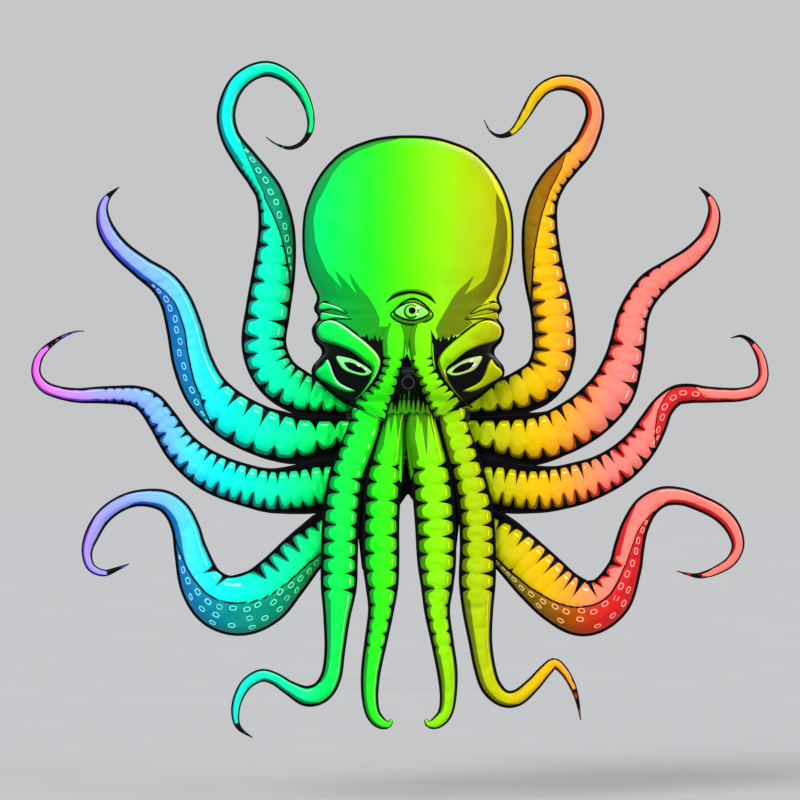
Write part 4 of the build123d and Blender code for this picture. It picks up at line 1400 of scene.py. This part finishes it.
def third_eye():
    """Generic eye sewn on the forehead."""
    lids = [(-33, 112), (-26, 120), (-12, 134), (8, 144), (26, 137), (40, 124), (48, 111),
            (34, 100), (8, 94), (-18, 100)]
    edge = puffed("eye_lids", lids, 4.0, 7.0, border=3.0, lift=1.2, shade_step=2.5,
                  print_fields=lambda x, z: (any_inside([LOWER_LID_SHADE], x, z), None))
    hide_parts("third_eye")
    inner = [(-27, 118), (-10, 131), (8, 136), (22, 132), (41, 117), (24, 106), (6, 103),
             (-12, 107)]
    puffed("eye_ball", inner, 2.0, 8.0, border=3.2, lift=5.8, tone_lift=0.12, shade_step=1.0,
           spacing=3.0)
    puffed("eye_iris", oval(6, 119, 12.5, 12, 0, 2.0), 1.0, 4.0, lift=8.4, border=2.4, smooth=0,
           tone_lift=0.06, spacing=2.5, shade_step=2.0)
    puffed("eye_pupil", oval(8, 121, 7.0, 6.8, 0, 2.0), 0.8, 3.0, lift=9.6, black=True,
           smooth=0, spacing=2.2)
    for i, (x, z, w, h) in enumerate(((20, 127, 4.2, 3.8), (19, 113, 3.2, 2.8))):
        puffed(f"eye_glint_{i}", oval(x, z, w, h, 20, 2.0), 0.6, 2.0, lift=10.6, smooth=0,
               tone_lift=0.95, spacing=2.2, print_fields=lambda x, z: (None, None))
    arc = [(-44, 136), (-30, 145), (-12, 152), (8, 155), (28, 151), (42, 144), (56, 134),
           (44, 149), (28, 156), (8, 160), (-12, 158), (-30, 151)]
    band = [(-42, 140), (-30, 148), (-12, 155), (8, 157), (28, 154), (42, 147), (54, 136),
            (44, 153), (28, 161), (8, 164), (-12, 162), (-30, 155)]
    puffed("eye_brow_shade", band, 0.6, 2.0, lift=0.6, spacing=2.8,
           print_fields=lambda x, z: (np.full(len(x), 5.0), None))
    puffed("eye_brow", arc, 0.8, 2.0, lift=1.6, black=True, spacing=2.5)
    lid_line = [(-26, 122), (-14, 134), (-2, 140), (8, 142), (20, 140), (32, 132), (42, 123),
                (31, 134), (20, 143), (8, 145.5), (-3, 143), (-15, 136)]
    puffed("eye_lid_line", lid_line, 0.5, 1.5, lift=6.4, black=True, spacing=2.5)


# Painted shade between the third eye and its lower lid.
LOWER_LID_SHADE = [(-34, 113), (-26, 112), (-12, 104), (6, 100), (24, 103), (40, 112), (49, 112),
             (34, 98), (8, 92), (-18, 98)]


MATERIALS = {}


def materials():
    MATERIALS["print_and_painted_light"] = ripstop_print_and_painted_light()
    MATERIALS["tape"] = black_tape()
    MATERIALS["rod"] = rod_material()
    MATERIALS["plastic"] = moulded_plastic()
    MATERIALS["steel"] = steel()
    MATERIALS["black"] = black_ripstop()


def cad_materials():
    """Better materials for the CAD nodes that stay."""
    for node, piece in frame["nodes"].items():
        if node.startswith("rod_") or node.endswith("spar") or "_spar_" in node:
            kind = "rod"
        else:
            kind = "steel" if node in ("tow_pin", "tow_ring") else "plastic"
        piece.data.materials.clear()
        cover(piece, kind)


def body_panel():
    """Flat panel with a turned hem, behind the face and the hanging tentacles."""
    half = [(0, 64), (98, 64), (103, 58), (103, 10), (92, 8), (92, -8), (103, -10), (103, -298),
            (92, -396), (74, -396), (41, -302), (0, -243)]
    outline = half + [(-x, z) for x, z in half[-2:0:-1]]
    loop = resample(np.array(outline, float), 5.0)
    flat, faces = fill_loop(loop, 9.0, insets=(3.0, 8.0))
    x, z = flat[:, 0], flat[:, 1]
    wave = 0.5 * np.sin(x * .06 + 1) * np.sin(z * .035)
    hem = smooth_step(inside_distance(loop, x, z), 7.5, 8.5)
    post = np.hypot(x, z) < 8.5
    front = np.stack([x, SAIL_Y + 0.7 - 0.5 * (1 - hem) + wave * hem, z], axis=1)
    back = np.stack([x, SAIL_Y + 1.7 + 0.5 * (1 - hem) + wave * hem, z], axis=1)
    points = np.vstack([front, back])
    faces = [f for f in faces if not post[list(f)].any()]
    shell = closed_faces(flat, faces, loop)
    panel = mesh_object("body_panel_cloth", points * MM, shell)
    black, shade = between_fields(points)
    in_front = np.arange(len(points)) < len(flat)
    paint(panel, points[:, 0], black=np.where(in_front, black, OFF),
          shade=np.where(in_front, shade, 5.0), cloth=points[:, [0, 2, 1]])
    finish(panel, "root")
    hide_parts("body_panel")


def main():
    materials()
    stage()
    cad_materials()
    rng = np.random.default_rng(SEED)
    for name in TENTACLES:
        where = (FRONT_Y, front_depth) if name.startswith("front") else (SAIL_Y, side_depth)
        build_skin(name, "body_" + name, *where, rng)
    head_skin()
    head_back()
    head_binding()
    face()
    body_panel()


main()
